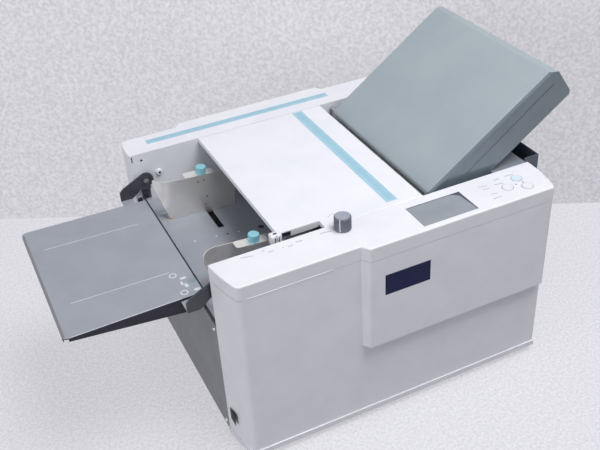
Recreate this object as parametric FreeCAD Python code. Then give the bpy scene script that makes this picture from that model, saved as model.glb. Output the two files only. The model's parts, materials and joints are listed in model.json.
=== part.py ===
import FreeCAD, Part
import math
import os
from collections import namedtuple

# A desktop paper folding machine, one solid or one group of like solids for each piece.
# Lengths are millimetres. X runs the way the paper travels, from the feed tray to the fold plate unit.
# Y runs across the machine, from the operator's side to the rear. Z is the height over the feet.

# Whole machine
WIDTH = 518.0
COVER_TOP_Z = 356.0
LEFT_END_X = -300.0
BODY_LENGTH = 567.0
PAPER_Y = 2.0
WALL = 3.0
SHEET = 1.5
GAP = 0.3
RUN = 0.05
OVERRUN = 5.0
TOUCH = 0.01
UNIT_FROM_END = 189.0
RIGHT_END_X = LEFT_END_X + BODY_LENGTH
UNIT_X = RIGHT_END_X - UNIT_FROM_END

# Side covers: plan form, raised panel, foot lip and seam
FRONT_COVER_DEPTH = 83.0
REAR_COVER_DEPTH = 73.0
COVER_BOTTOM_Z = 12.0
FRONT_LEFT_BACK = 16.0
REAR_LEFT_OUT = 8.0
REAR_LEFT_BACK = 3.0
RIGHT_BACK = 8.0
RAISED_RIGHT_BACK = 13.0
END_BOW = 2.5
COVER_CORNER_R = 9.0
COVER_EDGE_R = 2.2
RAISE = 12.4
RAISE_RAMP = 9.0
RAISE_EDGE_R = 4.0
RAISE_BOTTOM_Z = 163.0
FRONT_RAISE_OFFSET = 213.0
REAR_RAISE_OFFSET = 98.0
REAR_RAISE_FROM_END = 168.0
FOOT_LIP_HEIGHT = 10.0
FOOT_LIP_OUT = 2.0
CAP_HEIGHT = 25.0
SEAM_WIDTH = 0.8
VENT_COUNT = 9
VENT_LENGTH = 70.0
VENT_WIDTH = 4.0
VENT_PITCH = 9.0
VENT_LEFT_OFFSET = 60.0
VENT_BOTTOM_Z = 90.0
NOTCH_WIDTH = 24.0
NOTCH_HEIGHT = 28.0
NOTCH_DEPTH = 2.0
NOTCH_BOTTOM_Z = 53.0
NOTCH_INSET = 13.0

FRONT_WALL_Y = FRONT_COVER_DEPTH - WIDTH / 2
REAR_WALL_Y = WIDTH / 2 - REAR_COVER_DEPTH
COVER_SEAM_Z = COVER_TOP_Z - CAP_HEIGHT
CAP_UNDER_Z = COVER_TOP_Z - WALL

# Frame: side walls, base plate, feet, tie rods, end panels
FRAME_T = 3.0
BASE_END_GAP = 2.0
FRAME_END_GAP = 1.6
BASE_T = 2.0
BASE_RIM = 15.0
FOOT_R = 15.0
FOOT_TAPER = 2.0
FOOT_INSET_X = 45.0
FOOT_INSET_Y = 54.0
TIE_ROD_R = 6.0
TIE_ROD_LEFT_X = -240.0
TIE_ROD_FROM_END = 62.0
TIE_ROD_LOW_Z = 60.0
TIE_ROD_MIDDLE_BACK = 68.0
TIE_ROD_MIDDLE_Z = 150.0
PANEL_TOP_Z = 238.0
PANEL_FLANGE = 12.0
DECK_Z = 352.0
DECK_LIP = 12.0
SCREW_R = 4.0
SCREW_TOP_R = 2.8
SCREW_HEIGHT = 2.2
SCREW_INSET = 12.0
WALL_HOLE_R = 2.5
WALL_HOLE_RISE = 35.0

FRAME_BOTTOM_Z = COVER_BOTTOM_Z + BASE_T
BASE_LEFT_X = LEFT_END_X + WALL + BASE_END_GAP
BASE_RIGHT_X = RIGHT_END_X - WALL - BASE_END_GAP

# Control panel: display, buttons, board, adjusting knob
DISPLAY_LENGTH = 98.0
DISPLAY_WIDTH = 55.0
DISPLAY_FROM_END = 247.0
DISPLAY_INSET = 18.0
DISPLAY_SINK = 0.4
DISPLAY_LIP = 2.0
BUTTON_R = 8.5
BUTTON_PROUD = 1.2
BUTTON_FLANGE = 1.5
BUTTON_FLANGE_T = 1.8
BUTTON_BEVEL = 0.6
BUTTON_TRAVEL = 1.5
START_INSET = (48.0, 32.0)
RESET_INSET = (76.0, 47.0)
STOP_INSET = (47.0, 59.0)
BOARD_T = 1.6
BOARD_CLEAR = 2.4
BOARD_MARGIN = 8.0
BOARD_INSET = 15.0
BOARD_POST_R = 3.0
BOARD_DROP = GAP + BUTTON_FLANGE_T + BUTTON_TRAVEL + BOARD_CLEAR
KNOB_FROM_DISPLAY = 108.0
KNOB_INSET = 16.0
KNOB_R = 13.5
KNOB_HEIGHT = 23.5
KNOB_BEVEL = 1.2
KNOB_FLOAT = 0.5
KNOB_SHAFT_R = 3.0
ENCODER_SIZE = 14.0
ENCODER_HEIGHT = 12.0
ENCODER_FLOOR = 1.5
START_PLACE = (RIGHT_END_X - START_INSET[0], FRONT_WALL_Y - START_INSET[1])
RESET_PLACE = (RIGHT_END_X - RESET_INSET[0], FRONT_WALL_Y - RESET_INSET[1])
STOP_PLACE = (RIGHT_END_X - STOP_INSET[0], FRONT_WALL_Y - STOP_INSET[1])
KNOB_PLACE = (RIGHT_END_X - DISPLAY_FROM_END - KNOB_FROM_DISPLAY, FRONT_WALL_Y - KNOB_INSET)

# Feed tray and its arms
TRAY_LENGTH = 220.0
TRAY_GAP = 2.0
TRAY_Z = 282.0
TRAY_FRONT_GAP = 37.0
TRAY_REAR_GAP = 33.0
TRAY_FLARE = 5.5
TRAY_CORNER_R = 8.0
TRAY_LIP_SHALLOW = 6.0
TRAY_LIP_DEEP = 28.0
TRAY_LIP_BACK = 31.0
TRAY_STRIP = 7.0
TRAY_END_LIP = 9.0
ARM_T = 3.0
ARM_WALL_GAP = 6.5
ARM_REACH = 50.0
ARM_DROP = 6.0
ARM_TAB_LENGTH = 20.0
ARM_RISE = 25.0
ARM_TIP_HEIGHT = 12.0
ARM_TIP_CHAMFER = 7.0
ARM_EYE_R = 14.0
ARM_EYE_ANGLE = 25.0
ARM_FOOT_LENGTH = 20.0
ARM_HEEL = 9.0
ARM_PIN_X = -288.0
TRAY_PIN_R = 4.0
PIN_SHOULDER_R = 7.0
PIN_HEAD_T = 1.5
STOP_BRACKET_LENGTH = 16.0
STOP_BRACKET_HEIGHT = 28.0
STOP_BRACKET_T = 2.0
STOP_FINGER_T = 4.0
ARM_PIN_Z = TRAY_Z + ARM_RISE

# Paper table and the two guides that ride on it
TABLE_HINGE_X = -288.0
TABLE_HINGE_Z = 250.0
TABLE_RISE = 8.0
TABLE_TILT = 4.0
TABLE_SHARE = 0.4127
TABLE_OVERHANG = 8.0
TABLE_SIDE_GAP = 8.0
TABLE_FLANGE = 15.0
TABLE_PIN_R = 3.0
TABLE_PIN_PROUD = 1.5
SLOT_WIDTH = 11.0
SLOT_LEFT_OFFSET = 90.0
REAR_SLOT_START = 47.0
FRONT_SLOT_START = 1.0
SLOT_EDGE = 6.0
SENSOR_OFFSET_X = 151.0
SENSOR_OFFSET_Y = 20.0
SENSOR_HOLE_R = 5.5
GUIDE_SPREAD = 107.0
GUIDE_T = 1.2
GUIDE_HEIGHT = 75.0
GUIDE_RIGHT_X = -150.0
GUIDE_STRAIGHT_LEFT_X = -266.0
GUIDE_FLARE_LENGTH = 29.0
GUIDE_FLARE_OUT = 17.0
GUIDE_FOOT = 14.0
GUIDE_CORNER = 10.0
GUIDE_CORNER_ANGLE = 225.0
GUIDE_STEM_LENGTH = 8.0
GUIDE_STEM_WIDTH = 6.0
GUIDE_STEM_INSET = 4.0
GUIDE_WASHER_SIDE = 5.0
WING_LENGTH = 54.0
WING_WIDTH = 18.0
WING_LEFT_X = -241.0
WING_CORNER_R = 6.0
LOCK_X = -209.0
LOCK_OUT = 8.0
LOCK_R = 9.0
LOCK_HEIGHT = 12.0
LOCK_BEVEL = 0.8
LOCK_STUD_R = 2.5
LOCK_STUD_LENGTH = 9.0
TABLE_TOP_Z = TABLE_HINGE_Z + TABLE_RISE
TABLE_LEFT_X = TABLE_HINGE_X - TABLE_OVERHANG
TABLE_RIGHT_X = TABLE_LEFT_X + BODY_LENGTH * TABLE_SHARE

# Top cover, its lever notch and the release lever
COVER_LEFT_OFFSET = 120.0
COVER_UNIT_GAP = 14.0
COVER_SIDE_GAP = 0.5
COVER_SKIRT = 8.0
COVER_SKIRT_T = 2.5
COVER_ROUND_R = 1.5
COVER_LUG_LENGTH = 14.0
COVER_LUG_DROP = 14.0
COVER_PIN_INSET = 7.0
COVER_PIN_R = 2.5
COVER_PIN_LENGTH = 8.0
LEVER_NOTCH_LENGTH = 70.0
LEVER_NOTCH_DEPTH = 21.0
LEVER_PIVOT_X = -150.0
LEVER_PIVOT_Z = 285.0
LEVER_HEAD_X = -187.0
LEVER_HEAD_LENGTH = 18.0
LEVER_HEAD_WIDTH = 13.0
LEVER_HEAD_HEIGHT = 16.0
LEVER_HEAD_TOP_Z = 364.0
LEVER_HEAD_GAP = 6.0
LEVER_HEAD_R = 2.0
LEVER_GROOVE = 2.0
LEVER_STEM_T = 3.0
LEVER_STEM_WIDTH = 9.0
LEVER_HUB_R = 7.0
LEVER_PIN_R = 3.0
COVER_LEFT_X = LEFT_END_X + COVER_LEFT_OFFSET
COVER_RIGHT_X = UNIT_X - COVER_UNIT_GAP

# Fold plate unit, in its own slope: u runs up the slope, v runs down through its thickness
UNIT_Z = 346.0
UNIT_SLOPE = 35.0
UNIT_LENGTH = 286.0
UNIT_THICKNESS = 65.0
UNIT_FRONT_GAP = 11.0
UNIT_REAR_GAP = 19.0
UNIT_BEVEL_LENGTH = 13.0
UNIT_BEVEL_DROP = 11.0
UNIT_SEAM_V = 30.0
UNIT_WALL = 2.5
UNIT_LOW_EDGE_R = 6.0
UNIT_CORNER_R = 10.0
UNIT_MOUTH_RISE = 9.0
LOWER_SHELL_START = 32.0
LOWER_SHELL_RAKE = 10.0
LOWER_SHELL_CORNER = 5.0
UNIT_PIN_U = 8.0
UNIT_PIN_V = 8.0
UNIT_PIN_R = 4.0
UNIT_PIN_REACH = 6.0
PLATE_T = 1.0
PLATE_GAP = 3.0
PLATE_TIP = 8.0
PLATE_END_GAP = 6.0
PLATE_SLOT_WIDTH = 14.0
PLATE_SLOT_SPREAD = 95.0
STOP_FROM_END = 71.0
STOP_LOWEST_U = 55.0
STOP_END_GAP = 26.0
STOP_LENGTH = 6.0
STOP_SIDE_GAP = 8.0
STOP_LINK_WIDTH = 10.0
STOP_BLOCK = 18.0
ROD_R = 4.0
ROD_V = 46.0
STOP_U = UNIT_LENGTH - STOP_FROM_END
STOP_TRAVEL_DOWN = STOP_U - STOP_LOWEST_U
STOP_TRAVEL_UP = UNIT_LENGTH - STOP_END_GAP - STOP_U

# Fold rollers, gears, motor and belts
NIP_BACK = 20.0
ROLLER_PITCH = 32.0
ROLLER_SPACE = 0.4
ROLLER_END_GAP = 4.0
SHAFT_R = 5.0
SHAFT_OUT = 4.0
BEARING_R = 9.0
BEARING_PROUD = 2.0
SECOND_NIP_ANGLE = -18.4
THIRD_NIP_ANGLE = -99.0
GEAR_TEETH = 16
GEAR_ADDENDUM = 1.6
GEAR_DEDENDUM = 2.0
GEAR_BACKLASH = 0.5
GEAR_PRESSURE_ANGLE = 25.0
GEAR_WIDTH = 8.0
GEAR_WALL_GAP = 3.0
EXIT_PULLEY_GAP = 1.0
EXIT_PULLEY_WIDTH = 8.0
EXIT_DRIVE_R = 10.0
DRIVE_PULLEY_R = 24.0
DRIVE_PULLEY_WIDTH = 12.0
MOTOR_AHEAD = 72.0
MOTOR_Z = 62.0
MOTOR_R = 30.0
MOTOR_LENGTH = 70.0
MOTOR_SHAFT_R = 4.0
MOTOR_SHAFT_BORE = 20.0
MOTOR_PULLEY_R = 12.0
MOTOR_HOLE_R = 10.0
BELT_T = 2.0
BELT_INSET = 1.0
MOTOR_X = UNIT_X + MOTOR_AHEAD

# Feed roller, separator and paper path
FEED_Z = 291.0
FEED_R = 22.0
FEED_TYRES = 3
FEED_TYRE_WIDTH = 36.0
FEED_TYRE_PITCH = 70.0
FEED_CORE_R = 9.0
PAD_GAP = 0.5
PAD_LENGTH = 28.0
PAD_WIDTH = 44.0
PAD_HEIGHT = 24.5
PAD_ROD_DROP = 41.0
PAD_SHIFT = 6.0
PATH_START = 26.0
PATH_START_Z = 266.0
PATH_END_BACK = 14.0
PATH_END_Z = 300.0
PATH_GAP = 6.0
LOWER_PLATE_START = 18.0
LOWER_PLATE_LENGTH = 215.0
LOWER_STOP_AT = 150.0
LOWER_STOP_DOWN = 55.0
LOWER_STOP_UP = 95.0
CHUTE_R = 130.0
CHUTE_GAP = 5.0
CHUTE_START = 18.0
CHUTE_END_ANGLE = -60.0
EXIT_AHEAD = 12.0
EXIT_R = 9.0
EXIT_SHAFT_R = 3.0
EXIT_CORE_SIDE = 20.0
EXIT_SLOT_BOTTOM_Z = 118.0
EXIT_SLOT_TOP_Z = 166.0
EXIT_SLOT_SIDE = 20.0
FEED_X = TABLE_RIGHT_X + FEED_R
PATH_START_X = FEED_X + PATH_START
PATH_END_X = UNIT_X - PATH_END_BACK

# Delivery tray, folded up against the right end
DELIVERY_GAP = 1.5
DELIVERY_DEPTH = 28.5
DELIVERY_FRONT_GAP = 11.0
DELIVERY_REAR_GAP = 13.0
DELIVERY_HINGE_Z = 92.0
DELIVERY_LUG_T = 4.0
DELIVERY_LUG_HALF = 9.0
DELIVERY_PIN_R = 3.0
DELIVERY_PIN_PROUD = 1.5

# Power inlet with its rocker switch, power supply
INLET_FROM_END = 92.0
INLET_LENGTH = 80.0
INLET_HEIGHT = 36.0
INLET_BOTTOM_Z = 36.0
INLET_FLANGE_T = 2.0
INLET_RIM = 4.0
INLET_DEPTH = 30.0
SOCKET_LENGTH = 28.0
SOCKET_HEIGHT = 19.0
SOCKET_DEPTH = 18.0
SOCKET_OFFSET = 10.0
ROCKER_WIDTH = 14.0
ROCKER_OFFSET = 54.0
ROCKER_HALF = 10.0
ROCKER_WELL_HALF = 11.5
ROCKER_WELL_DEPTH = 14.0
ROCKER_RISE = 4.0
ROCKER_SINK = 3.0
ROCKER_TILT = 8.0
ROCKER_PIN_R = 1.5
ROCKER_PIN_LENGTH = 2.0
SUPPLY_LENGTH = 140.0
SUPPLY_WIDTH = 120.0
SUPPLY_HEIGHT = 46.0
SUPPLY_OFFSET_X = 100.0
SUPPLY_OFFSET_Y = 56.0
INLET_LEFT_X = RIGHT_END_X - INLET_FROM_END

V = FreeCAD.Vector
Cover = namedtuple("Cover", "side wall_y left_x left_back raised_from raised_to")

FRONT = Cover(-1, FRONT_WALL_Y, LEFT_END_X, FRONT_LEFT_BACK, LEFT_END_X + FRONT_RAISE_OFFSET, None)
REAR_LEFT_X = LEFT_END_X - REAR_LEFT_OUT
REAR_RAISED_X = LEFT_END_X + REAR_RAISE_OFFSET
REAR = Cover(1, REAR_WALL_Y, REAR_LEFT_X, REAR_LEFT_BACK, REAR_RAISED_X, RIGHT_END_X - REAR_RAISE_FROM_END)
SIDES = (FRONT, REAR)


def in_plan(x, y):
    return V(x, y, 0)


def in_side(x, z):
    return V(x, 0, z)


def outline(plane, start, *steps):
    """A closed face. A step is the next corner, or an arc as (a point on it, its end)."""
    edges = []
    first = plane(*start)
    here = first
    for step in steps:
        if isinstance(step[0], tuple):
            end = plane(*step[1])
            edges.append(Part.Arc(here, plane(*step[0]), end).toShape())
        else:
            end = plane(*step)
            edges.append(Part.LineSegment(here, end).toShape())
        here = end
    edges.append(Part.LineSegment(here, first).toShape())
    return Part.Face(Part.Wire(edges))


def prism_z(face, z0, z1):
    return face.translated(V(0, 0, z0)).extrude(V(0, 0, z1 - z0))


def prism_y(face, y0, y1):
    low, high = sorted((y0, y1))
    return face.translated(V(0, low, 0)).extrude(V(0, high - low, 0))


def box(x0, x1, y0, y1, z0, z1):
    y_low, y_high = sorted((y0, y1))
    return Part.makeBox(x1 - x0, y_high - y_low, z1 - z0, V(x0, y_low, z0))


def rod_y(x, z, radius, y0, y1):
    low, high = sorted((y0, y1))
    return Part.makeCylinder(radius, high - low, V(x, low, z), V(0, 1, 0))


def rod_z(x, y, radius, z0, z1):
    return Part.makeCylinder(radius, z1 - z0, V(x, y, z0))


def fused(shapes):
    whole = shapes[0]
    for other in shapes[1:]:
        whole = whole.fuse(other)
    return whole.removeSplitter()


def group(shapes):
    return Part.makeCompound(shapes)


def round_edges(shape, radius, chosen):
    """The shape with the edges that the test chooses rounded."""
    return shape.makeFillet(radius, [edge for edge in shape.Edges if chosen(edge)])


def bevel_edges(shape, size, chosen):
    """The shape with the edges that the test chooses bevelled."""
    return shape.makeChamfer(size, [edge for edge in shape.Edges if chosen(edge)])


def is_upright(edge):
    size = edge.BoundBox
    return size.ZLength > SHEET and size.XLength + size.YLength < TOUCH


def middle_of(edge):
    return edge.valueAt((edge.FirstParameter + edge.LastParameter) / 2)


# Side covers
def bowed(p, q, out):
    """A point on the bowed end between two corners, moved out along X."""
    return ((p[0] + q[0]) / 2 + out, (p[1] + q[1]) / 2)


def main_plan(cover, grow):
    """The cover's plan without its raised panel, grown outward. A shrunk one runs past the open side."""
    y = cover.side * (WIDTH / 2 - RAISE + grow)
    wall_y = cover.wall_y - cover.side * OVERRUN if grow < 0 else cover.wall_y
    near_left = (cover.left_x - grow, wall_y)
    far_left = (cover.left_x + cover.left_back - grow, y)
    far_right = (RIGHT_END_X - RIGHT_BACK + grow, y)
    near_right = (RIGHT_END_X + grow, wall_y)
    left_mid = bowed(near_left, far_left, -END_BOW)
    right_mid = bowed(near_right, far_right, END_BOW)
    return outline(in_plan, near_left, (left_mid, far_left), far_right, (right_mid, near_right))


def raised_plan(cover, grow):
    """The raised panel's plan, which starts inside the main wall."""
    y = cover.side * (WIDTH / 2 + grow)
    main_y = cover.side * (WIDTH / 2 - RAISE)
    root_y = main_y - cover.side * (WALL + (OVERRUN if grow < 0 else 0))
    base_left = cover.raised_from - grow
    if cover.raised_to is None:
        top_right = RIGHT_END_X - RAISED_RIGHT_BACK + grow
        base_right = RIGHT_END_X - RIGHT_BACK + grow
    else:
        top_right = cover.raised_to - RAISE_RAMP + grow
        base_right = cover.raised_to + grow
    return outline(in_plan, (base_left, root_y), (base_left, main_y), (base_left + RAISE_RAMP, y),
                   (top_right, y), (base_right, main_y), (base_right, root_y))


def main_block(cover, grow, z0, z1):
    """The cover's main form between two heights, with its upright corner at the feed end rounded."""
    left_corner = cover.left_x + cover.left_back - grow
    main_y = cover.side * (WIDTH / 2 - RAISE + grow)

    def at_left_corner(edge):
        middle = middle_of(edge)
        return is_upright(edge) and math.hypot(middle.x - left_corner, middle.y - main_y) < SHEET

    return round_edges(prism_z(main_plan(cover, grow), z0, z1), COVER_CORNER_R + grow, at_left_corner)


def cover_block(cover, z0, z1, raised_z0):
    """The cover's outer form between two heights."""
    block = fused([main_block(cover, 0, z0, z1), prism_z(raised_plan(cover, 0), raised_z0, z1)])
    return round_edges(block, RAISE_EDGE_R,
                       lambda edge: is_upright(edge) and abs(abs(middle_of(edge).y) - WIDTH / 2) < SHEET)


def cover_cavity(cover, z0, z1, raised_z0):
    return main_block(cover, -WALL, z0, z1).fuse(prism_z(raised_plan(cover, -WALL), raised_z0, z1))


def round_top(block, cover):
    """The outer edge of the cover's top, rounded."""
    def at_top(edge):
        middle = middle_of(edge)
        at_height = abs(middle.z - COVER_TOP_Z) < TOUCH and edge.BoundBox.ZLength < TOUCH
        return at_height and abs(middle.y - cover.wall_y) > SHEET

    return round_edges(block, COVER_EDGE_R, at_top)


def foot_lip(cover):
    return main_block(cover, FOOT_LIP_OUT, COVER_BOTTOM_Z, COVER_BOTTOM_Z + FOOT_LIP_HEIGHT)


def front_cover():
    """The deep moulding on the operator's side, open towards the side wall and at its foot."""
    block = cover_block(FRONT, COVER_BOTTOM_Z, COVER_SEAM_Z, RAISE_BOTTOM_Z)
    block = block.fuse(foot_lip(FRONT))
    raised_floor_z = RAISE_BOTTOM_Z + WALL
    shell = block.cut(cover_cavity(FRONT, COVER_BOTTOM_Z - OVERRUN, COVER_SEAM_Z + OVERRUN, raised_floor_z))
    notch_y = FRONT_WALL_Y - NOTCH_INSET
    notch = box(LEFT_END_X - OVERRUN, LEFT_END_X + NOTCH_DEPTH, notch_y - NOTCH_WIDTH, notch_y,
                NOTCH_BOTTOM_Z, NOTCH_BOTTOM_Z + NOTCH_HEIGHT)
    return shell.cut(notch)


def display_box(grow, z0, z1):
    x = RIGHT_END_X - DISPLAY_FROM_END
    y = FRONT_WALL_Y - DISPLAY_INSET
    return box(x - grow, x + DISPLAY_LENGTH + grow, y - DISPLAY_WIDTH - grow, y + grow, z0, z1)


def board_corners():
    """The control board's plan, which reaches from the display to the last button."""
    left = RIGHT_END_X - DISPLAY_FROM_END - BOARD_MARGIN
    right = STOP_PLACE[0] + BUTTON_R + BOARD_MARGIN
    rear = FRONT_WALL_Y - BOARD_INSET
    front = rear - DISPLAY_WIDTH - BOARD_MARGIN
    return left, right, front, rear


def board_posts():
    left, right, front, rear = board_corners()
    places = [(x, y) for x in (left + BOARD_POST_R, right - BOARD_POST_R)
              for y in (front + BOARD_POST_R, rear - BOARD_POST_R)]
    return [rod_z(x, y, BOARD_POST_R, CAP_UNDER_Z - BOARD_DROP, CAP_UNDER_Z) for x, y in places]


def control_panel_cap():
    """The front cover's top with the openings for display, buttons and knob, and posts for the board."""
    base_z = COVER_SEAM_Z + SEAM_WIDTH
    block = round_top(cover_block(FRONT, base_z, COVER_TOP_Z, base_z), FRONT)
    shell = block.cut(cover_cavity(FRONT, base_z - OVERRUN, CAP_UNDER_Z, base_z - OVERRUN))
    shell = shell.cut(display_box(0, CAP_UNDER_Z - OVERRUN, COVER_TOP_Z + OVERRUN))
    for x, y in (START_PLACE, RESET_PLACE, STOP_PLACE):
        shell = shell.cut(rod_z(x, y, BUTTON_R + GAP, CAP_UNDER_Z - OVERRUN, COVER_TOP_Z + OVERRUN))
    x, y = KNOB_PLACE
    shell = shell.cut(rod_z(x, y, KNOB_SHAFT_R + GAP, CAP_UNDER_Z - OVERRUN, COVER_TOP_Z + OVERRUN))
    return fused([shell] + board_posts())


def inlet_box(grow, y0, y1):
    x = INLET_LEFT_X + INLET_RIM
    z = INLET_BOTTOM_Z + INLET_RIM
    return box(x - grow, INLET_LEFT_X + INLET_LENGTH - INLET_RIM + grow, y0, y1,
               z - grow, INLET_BOTTOM_Z + INLET_HEIGHT - INLET_RIM + grow)


def rear_cover():
    """The moulding on the far side, with its top, air slots and the opening for the power inlet."""
    block = round_top(cover_block(REAR, COVER_BOTTOM_Z, COVER_TOP_Z, RAISE_BOTTOM_Z), REAR)
    block = block.fuse(foot_lip(REAR))
    shell = block.cut(cover_cavity(REAR, COVER_BOTTOM_Z - OVERRUN, CAP_UNDER_Z, RAISE_BOTTOM_Z + WALL))
    main_y = WIDTH / 2 - RAISE
    for number in range(VENT_COUNT):
        z = VENT_BOTTOM_Z + number * VENT_PITCH - VENT_PITCH * VENT_COUNT / 2
        x = LEFT_END_X + VENT_LEFT_OFFSET
        shell = shell.cut(box(x, x + VENT_LENGTH, main_y - WALL - OVERRUN, main_y + OVERRUN,
                              z, z + VENT_WIDTH))
    return shell.cut(inlet_box(0, main_y - WALL - OVERRUN, main_y + OVERRUN))


# Rollers, in the order that the paper meets them
def unit_at(u, v):
    """A place in the fold plate unit's slope, as X and Z."""
    slope = math.radians(UNIT_SLOPE)
    x = UNIT_X + u * math.cos(slope) + v * math.sin(slope)
    return x, UNIT_Z + u * math.sin(slope) - v * math.cos(slope)


def step_from(place, angle, distance):
    turn = math.radians(angle)
    return place[0] + distance * math.cos(turn), place[1] + distance * math.sin(turn)


def between(p, q):
    return (p[0] + q[0]) / 2, (p[1] + q[1]) / 2


FOLD_R = (ROLLER_PITCH - ROLLER_SPACE) / 2
FIRST_NIP = unit_at(-NIP_BACK, UNIT_SEAM_V)
ROLLER_1 = step_from(FIRST_NIP, UNIT_SLOPE + 90, ROLLER_PITCH / 2)
ROLLER_2 = step_from(FIRST_NIP, UNIT_SLOPE - 90, ROLLER_PITCH / 2)
ROLLER_3 = step_from(ROLLER_2, SECOND_NIP_ANGLE, ROLLER_PITCH)
ROLLER_4 = step_from(ROLLER_3, THIRD_NIP_ANGLE, ROLLER_PITCH)
FOLD_ROLLERS = (ROLLER_1, ROLLER_2, ROLLER_3, ROLLER_4)
FEED_PLACE = (FEED_X, FEED_Z)
LOWER_PLATE_ANGLE = SECOND_NIP_ANGLE - 90
CHUTE_ANGLE = THIRD_NIP_ANGLE + 90
CHUTE_BEGIN = step_from(between(ROLLER_3, ROLLER_4), CHUTE_ANGLE, CHUTE_START)
CHUTE_CENTRE = step_from(CHUTE_BEGIN, CHUTE_ANGLE - 90, CHUTE_R)
CHUTE_FINISH = step_from(CHUTE_CENTRE, CHUTE_END_ANGLE + 90, CHUTE_R)
EXIT_NIP = step_from(CHUTE_FINISH, CHUTE_END_ANGLE, EXIT_AHEAD)
EXIT_UPPER = step_from(EXIT_NIP, CHUTE_END_ANGLE + 90, EXIT_R + ROLLER_SPACE / 2)
EXIT_LOWER = step_from(EXIT_NIP, CHUTE_END_ANGLE - 90, EXIT_R + ROLLER_SPACE / 2)
EXIT_DRIVEN_R = EXIT_DRIVE_R * EXIT_R / FOLD_R
UNIT_PIN = unit_at(UNIT_PIN_U, UNIT_PIN_V)
COVER_PIN = (COVER_RIGHT_X - COVER_PIN_INSET, COVER_TOP_Z - COVER_PIN_INSET)
TRAY_PIN = (ARM_PIN_X, ARM_PIN_Z)
TABLE_PIN = (TABLE_HINGE_X, TABLE_HINGE_Z)
LEVER_PIVOT = (LEVER_PIVOT_X, LEVER_PIVOT_Z)
PAD_ROD = (FEED_X + PAD_SHIFT, FEED_Z - PAD_ROD_DROP)
TIE_RODS = (PAD_ROD, (TIE_ROD_LEFT_X, TIE_ROD_LOW_Z), (RIGHT_END_X - TIE_ROD_FROM_END, TIE_ROD_LOW_Z),
            (UNIT_X - TIE_ROD_MIDDLE_BACK, TIE_ROD_MIDDLE_Z))
UNIT_FRONT_Y = FRONT_WALL_Y + UNIT_FRONT_GAP
UNIT_REAR_Y = REAR_WALL_Y - UNIT_REAR_GAP
UNIT_MIDDLE_Y = (UNIT_FRONT_Y + UNIT_REAR_Y) / 2
STOP_HALF = UNIT_REAR_Y - UNIT_MIDDLE_Y - UNIT_WALL - STOP_SIDE_GAP
GEAR_Y = REAR_WALL_Y + FRAME_T + GEAR_WALL_GAP
EXIT_PULLEY_Y = GEAR_Y + GEAR_WIDTH + EXIT_PULLEY_GAP
DRIVE_PULLEY_Y = EXIT_PULLEY_Y + EXIT_PULLEY_WIDTH + EXIT_PULLEY_GAP


# Frame
def side_frame(cover):
    """A steel side wall with the holes that carry the shafts."""
    outer_y = cover.wall_y + cover.side * FRAME_T
    end_gap = WALL + FRAME_END_GAP
    plate = box(cover.left_x + end_gap, RIGHT_END_X - end_gap, cover.wall_y, outer_y,
                FRAME_BOTTOM_Z, CAP_UNDER_Z)
    holes = [(place, BEARING_R) for place in FOLD_ROLLERS + (FEED_PLACE,)]
    holes += [(place, EXIT_SHAFT_R + RUN) for place in (EXIT_UPPER, EXIT_LOWER)]
    holes.append(((ARM_PIN_X, ARM_PIN_Z + WALL_HOLE_RISE), WALL_HOLE_R))
    if cover.side > 0:
        holes.append(((MOTOR_X, MOTOR_Z), MOTOR_HOLE_R))
    for place, radius in holes:
        plate = plate.cut(rod_y(place[0], place[1], radius, cover.wall_y - OVERRUN, cover.wall_y + OVERRUN))
    return plate


def tie_rods():
    return group([rod_y(x, z, TIE_ROD_R, FRONT_WALL_Y, REAR_WALL_Y) for x, z in TIE_RODS])


def base_plate():
    """A sheet that the side walls stand on, with a rim inside each cover."""
    pieces = [box(BASE_LEFT_X, BASE_RIGHT_X, FRONT_WALL_Y - FRAME_T, REAR_WALL_Y + FRAME_T,
                  COVER_BOTTOM_Z, FRAME_BOTTOM_Z)]
    for cover in SIDES:
        outer_y = cover.wall_y + cover.side * FRAME_T
        rim_z = COVER_BOTTOM_Z + BASE_RIM
        beyond = box(BASE_LEFT_X - WIDTH, BASE_RIGHT_X + WIDTH, outer_y, outer_y + cover.side * WIDTH,
                     COVER_BOTTOM_Z - OVERRUN, rim_z)
        tray = main_block(cover, -WALL, COVER_BOTTOM_Z, rim_z)
        inside = main_block(cover, -WALL - BASE_T, FRAME_BOTTOM_Z, rim_z + OVERRUN)
        pieces.append(tray.common(beyond).cut(inside))
    return fused(pieces)


def foot_places():
    xs = (LEFT_END_X + FOOT_INSET_X, RIGHT_END_X - FOOT_INSET_X)
    ys = (FOOT_INSET_Y - WIDTH / 2, WIDTH / 2 - FOOT_INSET_Y)
    return [(x, y) for x in xs for y in ys]


def rubber_feet():
    return group([Part.makeCone(FOOT_R - FOOT_TAPER, FOOT_R, COVER_BOTTOM_Z, V(x, y, 0))
                  for x, y in foot_places()])


def end_sheet(x, side, z1):
    """A sheet between the side walls with a flange turned in along each of them."""
    low, high = sorted((x, x - side * SHEET))
    sheet = box(low, high, FRONT_WALL_Y, REAR_WALL_Y, FRAME_BOTTOM_Z, z1)
    pieces = [sheet]
    flange_low, flange_high = sorted((x, x - side * (WALL + PANEL_FLANGE)))
    for cover in SIDES:
        inner_y = cover.wall_y - cover.side * SHEET
        pieces.append(box(flange_low, flange_high, inner_y, cover.wall_y, FRAME_BOTTOM_Z, z1))
    return pieces


def left_end_panel():
    pieces = end_sheet(LEFT_END_X, -1, PANEL_TOP_Z)
    pieces.append(box(LEFT_END_X, LEFT_END_X + PANEL_FLANGE, FRONT_WALL_Y, REAR_WALL_Y,
                      PANEL_TOP_Z - SHEET, PANEL_TOP_Z))
    return fused(pieces)


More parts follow.
